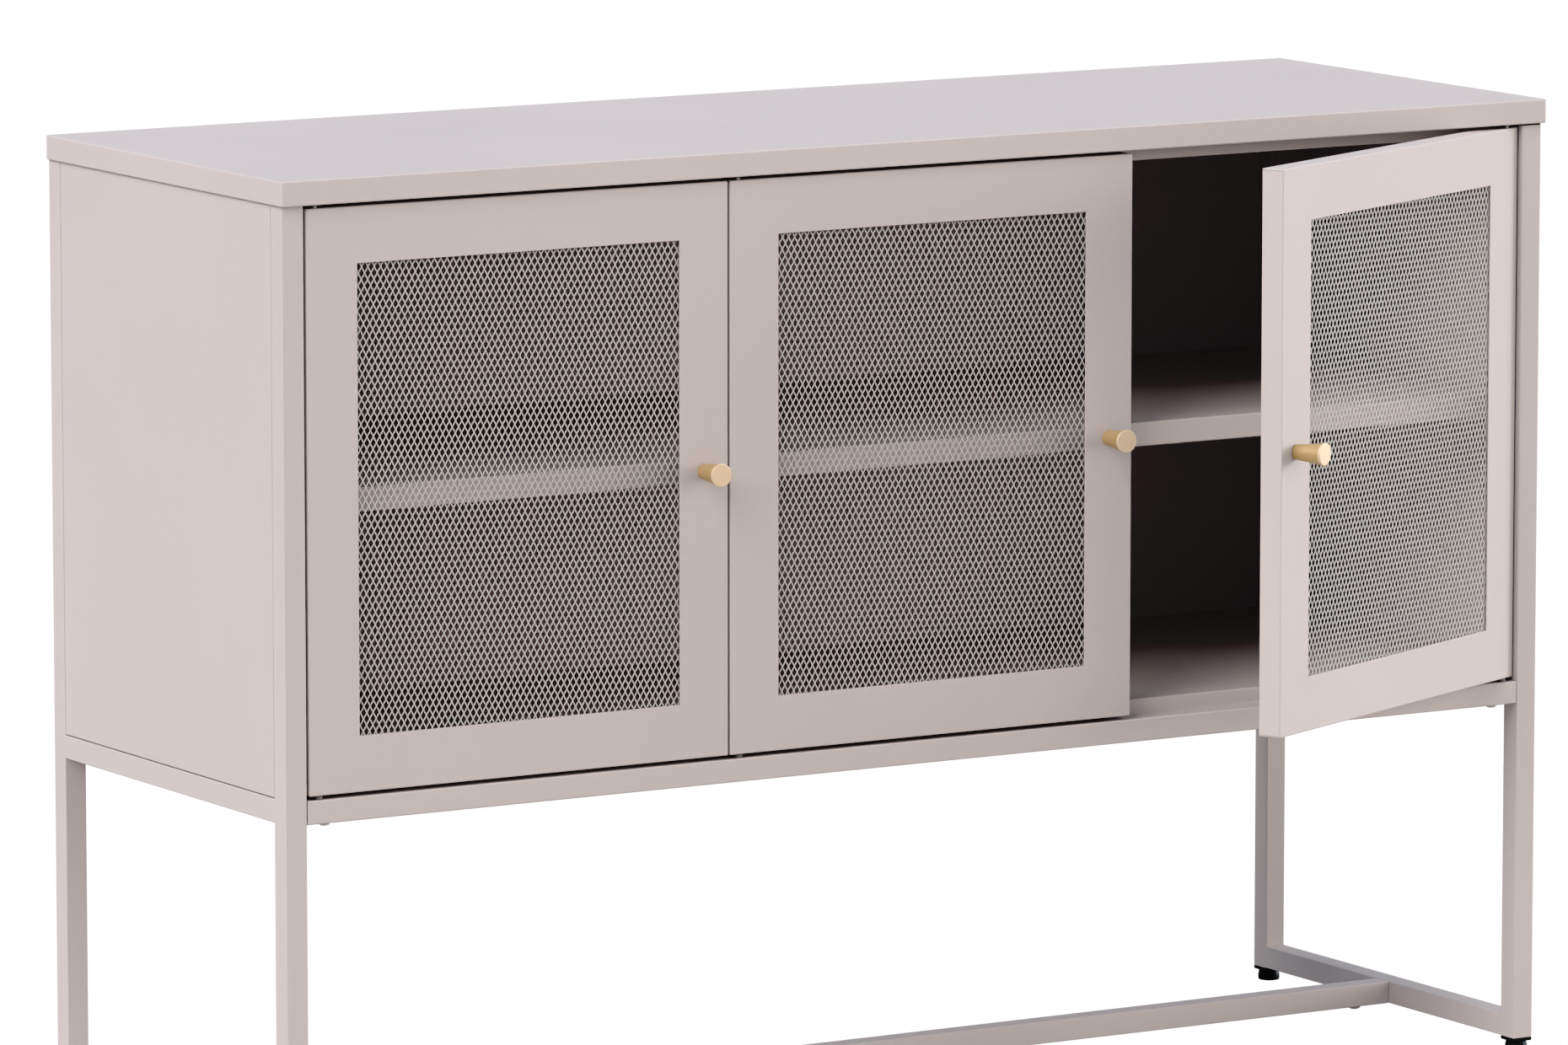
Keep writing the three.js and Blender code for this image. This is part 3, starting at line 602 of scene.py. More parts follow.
def expanded_mesh_tree():
    """The tree for rows of strand joints, turned a little and kept where they lie in the window"""
    inputs = {
        "Unit": "Object", "Cell width": "Float", "Cell height": "Float",
        "Width": "Float", "Height": "Float", "Spare": "Float",
        "Turn": "Vector", "Merge": "Float", "Material": "Material",
    }
    tree, given = new_tree("Expanded mesh", inputs)

    def pitch_row(length, pitch):
        """The number of points in a row, and the row's length"""
        reach = maths(tree, "ADD", given[length], given["Spare"])
        steps = maths(tree, "CEIL", maths(tree, "DIVIDE", reach, given[pitch]))
        return maths(tree, "ADD", steps, 1.0), maths(tree, "MULTIPLY", steps, given[pitch])

    columns, across = pitch_row("Width", "Cell width")
    rows, up = pitch_row("Height", "Cell height")
    grid = add_node(tree, "GeometryNodeMeshGrid", {
        "Size X": across, "Size Y": up, "Vertices X": columns, "Vertices Y": rows,
    })
    half_step = add_node(tree, "ShaderNodeCombineXYZ", {
        "X": maths(tree, "MULTIPLY", given["Cell width"], 0.5),
        "Y": maths(tree, "MULTIPLY", given["Cell height"], 0.5),
    })
    between = add_node(tree, "GeometryNodeTransform", {
        "Geometry": grid.outputs["Mesh"], "Translation": half_step.outputs["Vector"],
    })
    lattice = tree.nodes.new("GeometryNodeJoinGeometry")
    tree.links.new(grid.outputs["Mesh"], lattice.inputs["Geometry"])
    tree.links.new(between.outputs["Geometry"], lattice.inputs["Geometry"])
    slanted = add_node(tree, "GeometryNodeTransform", {
        "Geometry": lattice.outputs["Geometry"], "Rotation": given["Turn"],
    })
    place = add_node(tree, "ShaderNodeSeparateXYZ", {
        "Vector": tree.nodes.new("GeometryNodeInputPosition").outputs["Position"],
    })

    def beyond(axis, length):
        """Whether a point lies outside the window along one axis"""
        distance = maths(tree, "ABSOLUTE", place.outputs[axis])
        return maths(tree, "GREATER_THAN", distance, maths(tree, "MULTIPLY", given[length], 0.5))

    outside = maths(tree, "ADD", beyond("X", "Width"), beyond("Y", "Height"))
    kept = add_node(tree, "GeometryNodeDeleteGeometry", {
        "Geometry": slanted.outputs["Geometry"], "Selection": outside,
    }, domain="POINT")
    made = real_copies(tree, given["Unit"], kept.outputs["Geometry"], given["Turn"])
    joined = add_node(tree, "GeometryNodeMergeByDistance", {
        "Geometry": made, "Distance": given["Merge"],
    })
    return close_tree(tree, joined.outputs["Geometry"], given["Material"])


def grown(title, maker, values, points=()):
    """The mesh that a tree makes of a small piece, which is then thrown away"""
    mesh = bpy.data.meshes.new(title)
    mesh.from_pydata(points, [], [])
    carrier = add_object(title, mesh)
    run_tree(carrier, bpy.data.node_groups.get(title) or maker(), values)
    made = carrier.data
    bpy.data.objects.remove(carrier)
    bpy.data.objects.remove(values["Unit"])
    return made


def copies(name, unit, points, slot, turn=(0, 0, 0)):
    """A piece that holds a copy of a small one at each point"""
    values = {"Unit": unit, "Turn": turn, "Material": finish(slot)}
    return add_object(name, grown("Copies at points", copies_tree, values, points))


# Materials

NOISE_SPAN = {"From Min": 0.3, "From Max": 0.7}
FACE_SHARES = {"From Min": 0.72, "From Max": 0.75}


def grain_group():
    """A fine, even grain as a value between two limits"""
    group = bpy.data.node_groups.get("Fine grain")
    if group:
        return group
    group = bpy.data.node_groups.new("Fine grain", "ShaderNodeTree")
    face = group.interface
    face.new_socket("Place", in_out="INPUT", socket_type="NodeSocketVector")
    for label in ("Scale", "Detail", "Low", "High"):
        face.new_socket(label, in_out="INPUT", socket_type="NodeSocketFloat")
    face.new_socket("Value", in_out="OUTPUT", socket_type="NodeSocketFloat")
    given = group.nodes.new("NodeGroupInput").outputs
    noise = add_node(group, "ShaderNodeTexNoise", {
        "Vector": given["Place"], "Scale": given["Scale"], "Detail": given["Detail"],
    })
    spread = add_node(group, "ShaderNodeMapRange", {
        "Value": noise.outputs["Fac"], "To Min": given["Low"], "To Max": given["High"],
        **NOISE_SPAN,
    })
    add_node(group, "NodeGroupOutput", {"Value": spread.outputs["Result"]})
    return group


def bare_tree(owner):
    """The node tree of a new material or world, emptied"""
    owner.use_nodes = True
    owner.node_tree.nodes.clear()
    return owner.node_tree


def new_material(name, constants):
    """A material with its shader and the place on the piece that its patterns read"""
    material = bpy.data.materials.new(name)
    tree = bare_tree(material)
    shader = add_node(tree, "ShaderNodeBsdfPrincipled", constants)
    add_node(tree, "ShaderNodeOutputMaterial", {"Surface": shader.outputs["BSDF"]})
    place = tree.nodes.new("ShaderNodeTexCoord").outputs["Object"]
    return material, tree, shader, place


def grain(tree, place, scale, detail, low=0, high=1):
    """The fine grain in a material"""
    return add_node(tree, "ShaderNodeGroup", {
        "Place": place, "Scale": scale, "Detail": detail, "Low": low, "High": high,
    }, node_tree=grain_group()).outputs["Value"]


def relief(tree, shader, height, depth):
    """Raise the surface by a height between 0 and 1 times the depth"""
    bump = add_node(tree, "ShaderNodeBump", {"Height": height, "Distance": depth})
    tree.links.new(bump.outputs["Normal"], shader.inputs["Normal"])


def tinted(tree, shader, factor, dark, light):
    """Let the colour wander between two shades"""
    mix = add_node(tree, "ShaderNodeMix", data_type="RGBA")
    tree.links.new(factor, mix.inputs["Factor"])
    mix.inputs["A"].default_value = dark
    mix.inputs["B"].default_value = light
    tree.links.new(mix.outputs["Result"], shader.inputs["Base Color"])


def shade(value, share):
    """A colour made darker or lighter by a share, with its alpha"""
    return tuple(min(1.0, part * share) for part in value) + (1.0,)


def grained(name, base, constants, tint, roughness, bumps):
    """A finish whose colour, roughness and surface wander in fine grains. Each grain has a scale
    and a detail, then its two limits or the height of its bumps."""
    material, tree, shader, place = new_material(name, constants)
    scale, detail, dark, light = tint
    tinted(tree, shader, grain(tree, place, scale, detail), shade(base, dark), shade(base, light))
    tree.links.new(grain(tree, place, *roughness), shader.inputs["Roughness"])
    scale, detail, height = bumps
    relief(tree, shader, grain(tree, place, scale, detail), height)
    return material


def powder_coat(name, paint):
    """Satin powder coat with a faint orange peel"""
    return grained(
        name, paint, {"Specular IOR Level": 0.3}, tint=(5, 3, 0.985, 1.015),
        roughness=(900, 2, 0.54, 0.64), bumps=(420, 2, 0.012 * MM),
    )


def satin_brass(name, metal, face):
    """Turned metal with a satin lacquer, whose marks run round the knob up to its paler face. The
    flare's darker brass is partly a real difference from the faced disc and partly painted shade from
    the door.
    """
    constants = {"Metallic": 0.25, "Anisotropic": 0.2, "Specular IOR Level": 0.5}
    material, tree, shader, _ = new_material(name, constants)
    along = add_node(tree, "ShaderNodeAttribute", attribute_name="turned_length")
    shaded_flare_to_face = add_node(tree, "ShaderNodeMapRange", {"Value": along.outputs["Fac"], **FACE_SHARES})
    tinted(tree, shader, shaded_flare_to_face.outputs["Result"], shade(metal, 1), shade(face, 1))
    marks = add_node(tree, "ShaderNodeTexNoise", {
        "W": along.outputs["Fac"], "Scale": 350.0, "Detail": 2.0,
    }, noise_dimensions="1D")
    spread = add_node(tree, "ShaderNodeMapRange", {
        "Value": marks.outputs["Fac"], "To Min": 0.36, "To Max": 0.5, **NOISE_SPAN,
    })
    tree.links.new(spread.outputs["Result"], shader.inputs["Roughness"])
    relief(tree, shader, marks.outputs["Fac"], 0.004 * MM)
    return material


def zinc_plate(name, metal):
    """Bright zinc plate with a faint mottle"""
    return grained(
        name, metal, {"Metallic": 0.25}, tint=(350, 3, 0.9, 1.05),
        roughness=(1500, 2, 0.25, 0.42), bumps=(1200, 2, 0.006 * MM),
    )


def moulded(name, plastic, low, high):
    """Moulded plastic with a fine spark texture"""
    return grained(
        name, plastic, {"Specular IOR Level": 0.4}, tint=(80, 2, 0.92, 1.06),
        roughness=(1800, 2, low, high), bumps=(2200, 3, 0.015 * MM),
    )


def finish(slot):
    """The material of one of the record's slots, made when it is first used"""
    name = slot + "_finish"
    made = bpy.data.materials.get(name)
    if made:
        return made
    colours = bpy.context.scene.sideboard_finishes
    makers = {
        "body_paint": lambda: powder_coat(name, colours.paint),
        "mesh_paint": lambda: powder_coat(name, colours.mesh_paint),
        "knob_brass": lambda: satin_brass(name, colours.brass, colours.brass_face),
        "zinc": lambda: zinc_plate(name, colours.zinc),
        # Dark nylon: painted shade on the white bushes
        "nylon": lambda: moulded(name, colours.nylon, 0.42, 0.55),
        "black_plastic": lambda: moulded(name, colours.black, 0.45, 0.6),
    }
    return makers[slot]()


# Folded sheet

RIM_SHEETS = 12
SLIT_START_SHEETS = 2
SLIT_DEPTH_SHEETS = 1.5


def pan(width, height, depth, fold, corner, window=None):
    """A folded pan round its own centre: the face lies at zero and the walls run along +Z.
    The walls turn in by the fold. A window leaves a margin of face round it, and a closed face
    is one flat polygon inside a rim."""
    sizes = bpy.context.scene.sideboard_sheet
    rim = window or RIM_SHEETS * sizes.sheet
    path = [(-rim, 0), (0, 0), (0, depth)]
    if fold:
        path.append((-fold, depth))
    outline = folded_outline(path, sizes, plain_start=not window)
    profile = [(-point.x, point.y) for point in outline]
    return lofted(inset_rings(width, height, corner, profile), closed=bool(window))


def cut_seams(panel, extent, fold, matrix):
    """Cut the slits where two folds meet at the back corners of a pan"""
    sizes = bpy.context.scene.sideboard_sheet
    width, height, depth = extent
    start = SLIT_START_SHEETS * sizes.sheet
    end = start + (fold - sizes.sheet / 2) * math.sqrt(2)
    half = sizes.seam / 2
    bottom = depth - SLIT_DEPTH_SHEETS * sizes.sheet
    seams = bmesh.new()
    for a, b in QUARTERS:
        slit = block((start, end), (-half, half), (bottom, depth + SPARE))
        turn = Matrix.Rotation(math.atan2(-b, -a), 4, "Z")
        absorb(seams, slit, Matrix.Translation((a * width / 2, b * height / 2, 0)) @ turn)
    seams.transform(matrix)
    cut(panel, seams)


def make_tray(node, fold, corner):
    """Fold the tray of a node, which lies upside down, and cut its seams"""
    whole = box(node)
    upside_down = axes(X, Y, -Z, (whole.middle.x, whole.middle.y, whole.high.z))
    tray = as_object(pan(*whole.size, fold, corner), node + "_sheet", upside_down)
    cut_seams(tray, whole.size, fold, upside_down)
    dress(tray, "cabinet", "body_paint", node)


class MakeTop(bpy.types.Operator):
    """Fold the tray that makes the top"""

    bl_idname = "sideboard.top"
    bl_label = "Top panel"

    def execute(self, context):
        sizes = context.scene.sideboard_sheet
        make_tray("top_panel", sizes.top_return, sizes.top_corner)
        return {"FINISHED"}


class MakeShelf(bpy.types.Operator):
    """Fold the tray that makes the shelf"""

    bl_idname = "sideboard.shelf"
    bl_label = "Shelf"

    def execute(self, context):
        sizes = context.scene.sideboard_sheet
        make_tray("shelf", sizes.shelf_return, sizes.corner)
        return {"FINISHED"}


def add_shelf_bracket(bm, side, y, panel_face, shelf_bottom):
    """An angle with one leg on the side panel and the other under the shelf"""
    sizes = bpy.context.scene.sideboard_sheet
    stock = bpy.context.scene.sideboard_tube
    top = shelf_bottom - sizes.gap
    root = panel_face + side * sizes.gap / 2
    path = [(root, top - stock.bracket_drop), (root, top), (root - side * stock.bracket_reach, top)]
    outline = folded_outline(path[::side], sizes)
    half = stock.bracket_width / 2
    loft(bm, [[Vector((p.x, y + offset, p.y)) for p in outline] for offset in (-half, half)])


class MakeSidePanels(bpy.types.Operator):
    """Fold the two side panels and weld the shelf brackets to them"""

    bl_idname = "sideboard.side_panels"
    bl_label = "Side panels"

    def execute(self, context):
        sizes = context.scene.sideboard_sheet
        inset = context.scene.sideboard_tube.bracket_inset
        shelf_bottom = box("shelf").low.z
        for side, word in SIDES:
            panel = box(word + "_side_panel")
            face = panel.low.x if side < 0 else panel.high.x
            bm = pan(panel.size.y, panel.size.z, sizes.flange, 0, sizes.corner)
            bm.transform(axes(Y, Z, -X * side, (face, panel.middle.y, panel.middle.z)))
            for y in (panel.low.y + inset, panel.high.y - inset):
                add_shelf_bracket(bm, side, y, face - side * sizes.sheet, shelf_bottom)
            sheet = as_object(bm, word + "_side_sheet")
            dress(sheet, "cabinet", "body_paint", word + "_side_panel")
        return {"FINISHED"}


class MakeBackPanel(bpy.types.Operator):
    """Fold the back panel and cut its flanges round the base"""

    bl_idname = "sideboard.back_panel"
    bl_label = "Back panel"

    def execute(self, context):
        sizes = context.scene.sideboard_sheet
        back = box("back_panel")
        below = back.low.z - 2 * (sizes.bend + sizes.sheet)
        bm = pan(back.size.x, back.high.z - below, sizes.flange, 0, sizes.corner)
        origin = (0, back.high.y, (back.high.z + below) / 2)
        panel = as_object(bm, "back_sheet", axes(X, Z, -Y, origin))
        xs = (back.low.x - SPARE, back.high.x + SPARE)
        front = back.low.y - SPARE
        flange_bottom = box("base_panel").high.z + sizes.gap
        cut(panel, block(xs, (front, back.high.y + SPARE), (below - SPARE, back.low.z)))
        cut(panel, block(xs, (front, back.high.y - sizes.sheet), (below - SPARE, flange_bottom)))
        dress(panel, "cabinet", "body_paint", "back_panel")
        return {"FINISHED"}


class MakeBasePanel(bpy.types.Operator):
    """Fold the base: front rail, ledge, door stop, cabinet floor and rear rail"""

    bl_idname = "sideboard.base_panel"
    bl_label = "Base panel"

    def execute(self, context):
        sizes = context.scene.sideboard_sheet
        base = box("base_panel")
        front, back = base.low.y, base.high.y
        bottom, top = base.low.z, base.high.z
        leg = box("left_front_leg")
        rail_end = -leg.low.x - leg.size.y - sizes.gap - sizes.rail_play
        stop = front + sizes.stop_setback
        ledge = top - sizes.ledge_drop
        fold = sizes.rail_return
        path = [
            (back - fold, bottom), (back, bottom), (back, top), (stop, top),
            (stop, ledge), (front, ledge), (front, bottom), (front + fold, bottom),
        ]
        panel = as_object(drawn(folded_outline(path, sizes), base.low.x, base.high.x), "base_sheet")
        side_panel = box("left_side_panel")
        rear = side_panel.high.y - sizes.sheet - sizes.gap
        flange_bottom = side_panel.low.z + sizes.sheet + sizes.gap
        lap = sizes.sheet / 2
        for side, _ in SIDES:
            inner = side * rail_end
            xs = (inner, side * (base.high.x + SPARE))
            whole_depth = (front - SPARE, back + SPARE)
            whole_height = (bottom - SPARE, top + SPARE)
            cut(panel, block(xs, (front - SPARE, stop - sizes.gap), whole_height))
            cut(panel, block(xs, (rear, back + SPARE), whole_height))
            cut(panel, block(xs, whole_depth, (bottom - SPARE, flange_bottom)))
            wall = (side * base.high.x, side * (base.high.x - sizes.sheet))
            weld(panel, block(wall, (stop, rear), (flange_bottom, top - lap)))
            end = (inner - side * sizes.sheet, inner - 2 * side * sizes.sheet)
            weld(panel, block(end, (front + lap, front + fold), (bottom + lap, ledge - lap)))
            weld(panel, block(end, (back - fold, back - lap), (bottom + lap, top - lap)))
        dress(panel, "cabinet", "body_paint", "base_panel")
        return {"FINISHED"}


class MakeStopRail(bpy.types.Operator):
    """Fold the rail behind the tops of the doors"""

    bl_idname = "sideboard.stop_rail"
    bl_label = "Top stop rail"

    def execute(self, context):
        low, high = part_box("top_stop_rail")
        path = [(high.y, high.z), (low.y, high.z), (low.y, low.z), (high.y, low.z)]
        outline = folded_outline(path, context.scene.sideboard_sheet)
        rail = as_object(drawn(outline, low.x, high.x), "top_stop_sheet")
        dress(rail, "cabinet", "body_paint", "top_stop_rail")
        return {"FINISHED"}


# Tube work

TUBE_STEPS = 5


def tube(width, length, matrix, solid=False):
    """A length of square tube along its own +Z, hollow or with closed ends"""
    sizes = bpy.context.scene.sideboard_tube
    profile = [(0, 0), (0, length)]
    if not solid:
        profile += [(sizes.wall, length), (sizes.wall, 0)]
    bm = lofted(inset_rings(width, width, sizes.corner, profile, TUBE_STEPS), closed=not solid)
    bm.transform(matrix)
    return bm


def tongue(outer, wall, start, finish, middle):
    """The tongue that enters the stretcher: a channel along X, open at the top"""
    inner = outer - wall
    outline = [
        (-outer, outer), (-outer, -outer), (outer, -outer), (outer, outer),
        (inner, outer), (inner, -inner), (-inner, -inner), (-inner, outer),
    ]
    return drawn([(middle.y + a, middle.z + b) for a, b in outline], start, finish)


class MakeSideFrames(bpy.types.Operator):
    """Weld each side's two legs, side rail and bottom rail into one frame"""

    bl_idname = "sideboard.side_frames"
    bl_label = "Side frames"

    def execute(self, context):
        gap = context.scene.sideboard_sheet.gap
        stock = context.scene.sideboard_tube
        tab_bottom = box("base_panel").low.z + context.scene.sideboard_sheet.sheet + gap
        for side, word in SIDES:
            front = box(word + "_front_leg")
            rear = box(word + "_rear_leg")
            width = front.size.y
            outer = front.low.x if side < 0 else front.high.x
            x = outer - side * width / 2
            length = front.size.z - (stock.settling if side > 0 else 0)
            into_leg = stock.corner + gap
            start = front.high.y - into_leg
            run = rear.low.y + into_leg - start
            upright = axes(X, Y, Z, (x, front.middle.y, front.low.z))
            welded = as_object(tube(width, length, upright), word + "_side_frame")
            weld(welded, tube(width, length, axes(X, Y, Z, (x, rear.middle.y, rear.low.z))))
            for z in (box(word + "_side_rail").middle.z, rear.low.z + width / 2):
                weld(welded, tube(width, run, axes(Z, X, Y, (x, start, z)), solid=True))
            face = outer - side * width
            root = face + side * stock.wall / 2
            extras = tongue(
                width / 2 - stock.wall - gap, stock.tongue_wall, root, face - side * stock.tongue,
                box("stretcher").middle,
            )
            half = stock.tab_width / 2
            for corner in (word + "_front", word + "_rear"):
                y = box(corner + "_base_screw").middle.y
                add_block(
                    extras, (root, face - side * stock.tab_length), (y - half, y + half),
                    (tab_bottom, tab_bottom + stock.tab_thickness),
                )
            add_to(welded, extras)
            nodes = [word + end for end in ("_front_leg", "_rear_leg", "_side_rail", "_bottom_rail")]
            dress(welded, "cabinet", "body_paint", *nodes)
        return {"FINISHED"}


class MakeStretcher(bpy.types.Operator):
    """Cut the stretcher between the bottom rails"""

    bl_idname = "sideboard.stretcher"
    bl_label = "Stretcher"

    def execute(self, context):
        play = context.scene.sideboard_tube.play
        whole = box("stretcher")
        place = axes(Y, Z, X, (whole.low.x + play, whole.middle.y, whole.middle.z))
        stretcher = as_object(tube(whole.size.y, whole.size.x - 2 * play, place), "stretcher_tube")
        dress(stretcher, "cabinet", "body_paint", "stretcher")
        return {"FINISHED"}


# Fasteners, caps and feet

DOME_STEPS = 8
DOME_SEGMENTS = 28
DOME_FLAT_SHARE = 0.2
DOME_FULLNESS = 0.6


def domed_head(diameter, height, shank, length):
    """A screw that stands on +Z: its dome lies below zero and its shank above"""
    radius = diameter / 2
    profile = [(DOME_FLAT_SHARE * radius, -height)]
    for i in range(1, DOME_STEPS + 1):
        turn = math.pi / 2 * i / DOME_STEPS
        out = radius * math.sin(turn) ** DOME_FULLNESS
        profile.append((out, -height * max(math.cos(turn), 0) ** DOME_FULLNESS))
    profile += [(shank / 2, 0), (shank / 2, length)]
    return turned(profile, DOME_SEGMENTS)


RECESS_REACH_SHARE = 2.2
RECESS_BOTTOM_SHARE = 0.6
SOCKET_BOTTOM_SHARE = 0.3


def cross_recess(head, sizes):
    """A cutter for a cross recess in the underside of a head, narrower at its bottom"""
    half = sizes.recess / 2
    reach = RECESS_REACH_SHARE * sizes.recess
    arm = [Vector((reach, -half, 0)), Vector((reach, half, 0)), Vector((half, half, 0))]
    cross = []
    for quarter in range(4):
        turn = Matrix.Rotation(quarter * math.pi / 2, 3, "Z")
        cross += [turn @ point for point in arm]
    narrow = [RECESS_BOTTOM_SHARE * point for point in cross]
    return lofted([lifted(cross, -head - SPARE / 2), lifted(narrow, sizes.recess_depth - head)])


def hex_socket(head, sizes):
    """A cutter for the socket in the underside of a bolt's head"""
    radius = sizes.socket / 2 / math.cos(math.pi / 6)
    return turned([(radius, -head - SPARE), (radius, -SOCKET_BOTTOM_SHARE * head)], 6)


def screw(name, diameter, head, length, recess):
    """A screw or bolt that stands on +Z, with the recess for its driver"""
    sizes = bpy.context.scene.sideboard_fasteners
    made = as_object(domed_head(diameter, head, sizes.shank, length), name)
    cut(made, recess(head, sizes))
    return made


class MakeScrews(bpy.types.Operator):
    """Put in the screws under the base and the bolts under the bottom rails"""

    bl_idname = "sideboard.screws"
    bl_label = "Screws and bolts"

    def execute(self, context):
        screws = [corner + "_base_screw" for corner in CORNERS]
        bolts = [word + "_stretcher_bolt" for _, word in SIDES]
        for name, nodes, held, recess in (
            ("base_screws", screws, "base_panel", cross_recess),
            ("stretcher_bolts", bolts, "left_bottom_rail", hex_socket),
        ):
            whole = box(nodes[0])
            seat = box(held).low.z - context.scene.sideboard_sheet.gap
            unit = screw("unit", whole.size.x, seat - whole.low.z, whole.high.z - seat, recess)
            dress(copies(name, unit, spots(nodes, seat), "zinc"), "cabinet", "zinc", *nodes)
        return {"FINISHED"}


CAP_STEPS = 7


class MakeLegCaps(bpy.types.Operator):
    """Mould the caps in the feet of the legs, and the black plugs on the tops of the right legs, which
    are painted shade that fills the gap under the top
    """

    bl_idname = "sideboard.leg_caps"
    bl_label = "Leg caps"

    def execute(self, context):
        bevel = context.scene.sideboard_feet.rounding
        gap = context.scene.sideboard_sheet.gap
        stock = context.scene.sideboard_tube
        nodes = [corner + "_leg_cap" for corner in CORNERS]
        cap = box(nodes[0])
        width = cap.size.x
        flange = box("left_front_leg").low.z - gap - cap.low.z
        plug = width - 2 * stock.wall - 2 * gap
        rings = inset_rings(
            width, width, stock.corner, [(bevel, 0), (0, bevel), (0, flange)], CAP_STEPS
        )
        rings += inset_rings(plug, plug, bevel, [(0, flange), (0, cap.size.z)], CAP_STEPS)
        square = rectangle_ring(width, width, stock.corner, CAP_STEPS)
        hole = circle_like(square, context.scene.sideboard_feet.stem / 2 + gap)
        bm = lofted([lifted(hole, 0), *rings, lifted(hole, cap.size.z)], closed=True)
        caps = copies("leg_caps", as_object(bm, "unit"), spots(nodes, cap.low.z), "black_plastic")
        # Black blocks above the right legs: painted shade, a dark fill where the gap under the top holds
        # only shadow
        gap_shade_blocks = bmesh.new()
        top = box("top_panel").low.z - gap
        for node in ("right_front_leg", "right_rear_leg"):
            leg = box(node)
            xs = (leg.high.x - width + bevel, leg.high.x - bevel)
            ys = (leg.low.y + bevel, leg.high.y - bevel)
            add_block(gap_shade_blocks, xs, ys, (leg.high.z - stock.settling, top))
        add_to(caps, gap_shade_blocks)
        dress(caps, "cabinet", "black_plastic", *nodes)
        return {"FINISHED"}


THREAD_SEGMENTS = 20
RINGS_IN_A_PITCH = 6


def threaded_stem(bm, radius, depth, pitch, bottom, top):
    """A stem whose thread climbs one pitch in each turn"""
    rings = []
    count = int((top - bottom) / pitch * RINGS_IN_A_PITCH)
    for i in range(count + 1):
        z = bottom + (top - bottom) * i / count
        fade = min(1.0, (top - z) / pitch, (z - bottom) / pitch)
        ring = []
        for k in range(THREAD_SEGMENTS):
            phase = (z / pitch - k / THREAD_SEGMENTS) % 1.0
            groove = depth * fade * abs(2 * phase - 1)
            turn = 2 * math.pi * k / THREAD_SEGMENTS
            reach = radius - groove
            ring.append(Vector((reach * math.cos(turn), reach * math.sin(turn), z)))
        rings.append(ring)
    loft(bm, rings)


FOOT_SEGMENTS = 40

# Out from the axis, by shares of the radius and the rounding, then up, by shares of the height
# and the rounding
FOOT_PROFILE = (
    (0.3, 0, 0, 0), (1, -3, 0, 0), (1, -1.2, 0, 0.35), (1, -0.35, 0, 1.2), (1, 0, 0, 3),
    (1, 0, 0.5, 0), (1, -0.4, 0.62, 0), (1, -1.4, 1, -1), (1, -1.8, 1, -0.3), (1, -2.4, 1, 0),
    (0.5, 0, 1, 0),
)


class MakeFeet(bpy.types.Operator):
    """Mould the levelling feet with their threaded stems"""

    bl_idname = "sideboard.feet"
    bl_label = "Levelling feet"

    def execute(self, context):
        sizes = context.scene.sideboard_feet
        top = sizes.disc_height
        edge = sizes.rounding
        for corner in CORNERS:
            node = corner + "_levelling_foot"
            foot = box(node)
            radius = foot.size.x / 2
            profile = [
                (a * radius + b * edge, c * top + d * edge) for a, b, c, d in FOOT_PROFILE
            ]
            bm = turned(profile, FOOT_SEGMENTS)
            threaded_stem(
                bm, sizes.stem / 2, sizes.thread_depth, sizes.thread_pitch, top - edge, foot.high.z
            )
            place = Matrix.Translation((foot.middle.x, foot.middle.y, foot.low.z))
            dress(as_object(bm, corner + "_glide", place), corner + "_foot", "black_plastic", node)
        return {"FINISHED"}


def bush(node, collar, sizes):
    """One bush that stands on +Z with its collar below"""
    whole = box(node)
    bore = sizes.pin / 2 + sizes.pin_clearance
    body = bore + sizes.bush_wall
    rim = whole.size.x / 2
    length = whole.size.z
    edge = sizes.bush_edge
    profile = [
        (bore, 0), (rim - edge, 0), (rim, edge), (rim, collar - edge), (rim - edge, collar),
        (body, collar), (body, length - edge), (body - edge, length), (bore, length),
    ]
    return as_object(turned(profile, ROUND_SEGMENTS, closed=True), "unit")


class MakeBushes(bpy.types.Operator):
    """Press the nylon bushes into the top and the ledge"""

    bl_idname = "sideboard.bushes"
    bl_label = "Bushes"

    def execute(self, context):
        sizes = context.scene.sideboard_fasteners
        sheet = context.scene.sideboard_sheet
        ledge = box("base_panel").high.z - sheet.ledge_drop
        start = box("left_door_top_bush").low.z
        end = box("left_door_bottom_bush").high.z
        for name, ending, height, collar, turn in (
            ("top_bushes", "_top_bush", start, sizes.collar, 0.0),
            ("bottom_bushes", "_bottom_bush", end, end - ledge - sheet.gap, math.pi),
        ):
            nodes = [door + ending for door in DOORS]
            unit = bush(nodes[0], collar, sizes)
            bushes = copies(name, unit, spots(nodes, height), "nylon", (turn, 0, 0))
            dress(bushes, "cabinet", "nylon", *nodes)
        return {"FINISHED"}


# Doors

def door_places():
    """Each door's name, its way from pivot to free edge, and the matrix out of its closed place"""
    for door in DOORS:
        joint = JOINTS[door + "_pivot"]
        reach = -1 if joint["axis"][2] > 0 else 1
        open_turn = math.radians(min(joint["range_deg"])) * joint["axis"][2] * -1
        pivot = Vector(joint["pos_m"])
        pivot.z = 0
        place = Matrix.Translation(pivot) @ Matrix.Rotation(open_turn, 4, "Z")
        yield door, reach, place @ Matrix.Diagonal((reach, 1, 1, 1))


def closed_box(piece):
    """A door piece's box when closed, with lengths counted from the pivot"""
    pivot = Vector(JOINTS["left_door_pivot"]["pos_m"])
    pivot.z = 0
    low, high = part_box("left_door_" + piece)
    return Box(low - pivot, high - pivot)


def window_size(sizes):
    """The width and the height of a door's window"""
    whole = closed_box("shell").size
    return whole.x - 2 * sizes.window_margin, whole.z - 2 * sizes.window_margin


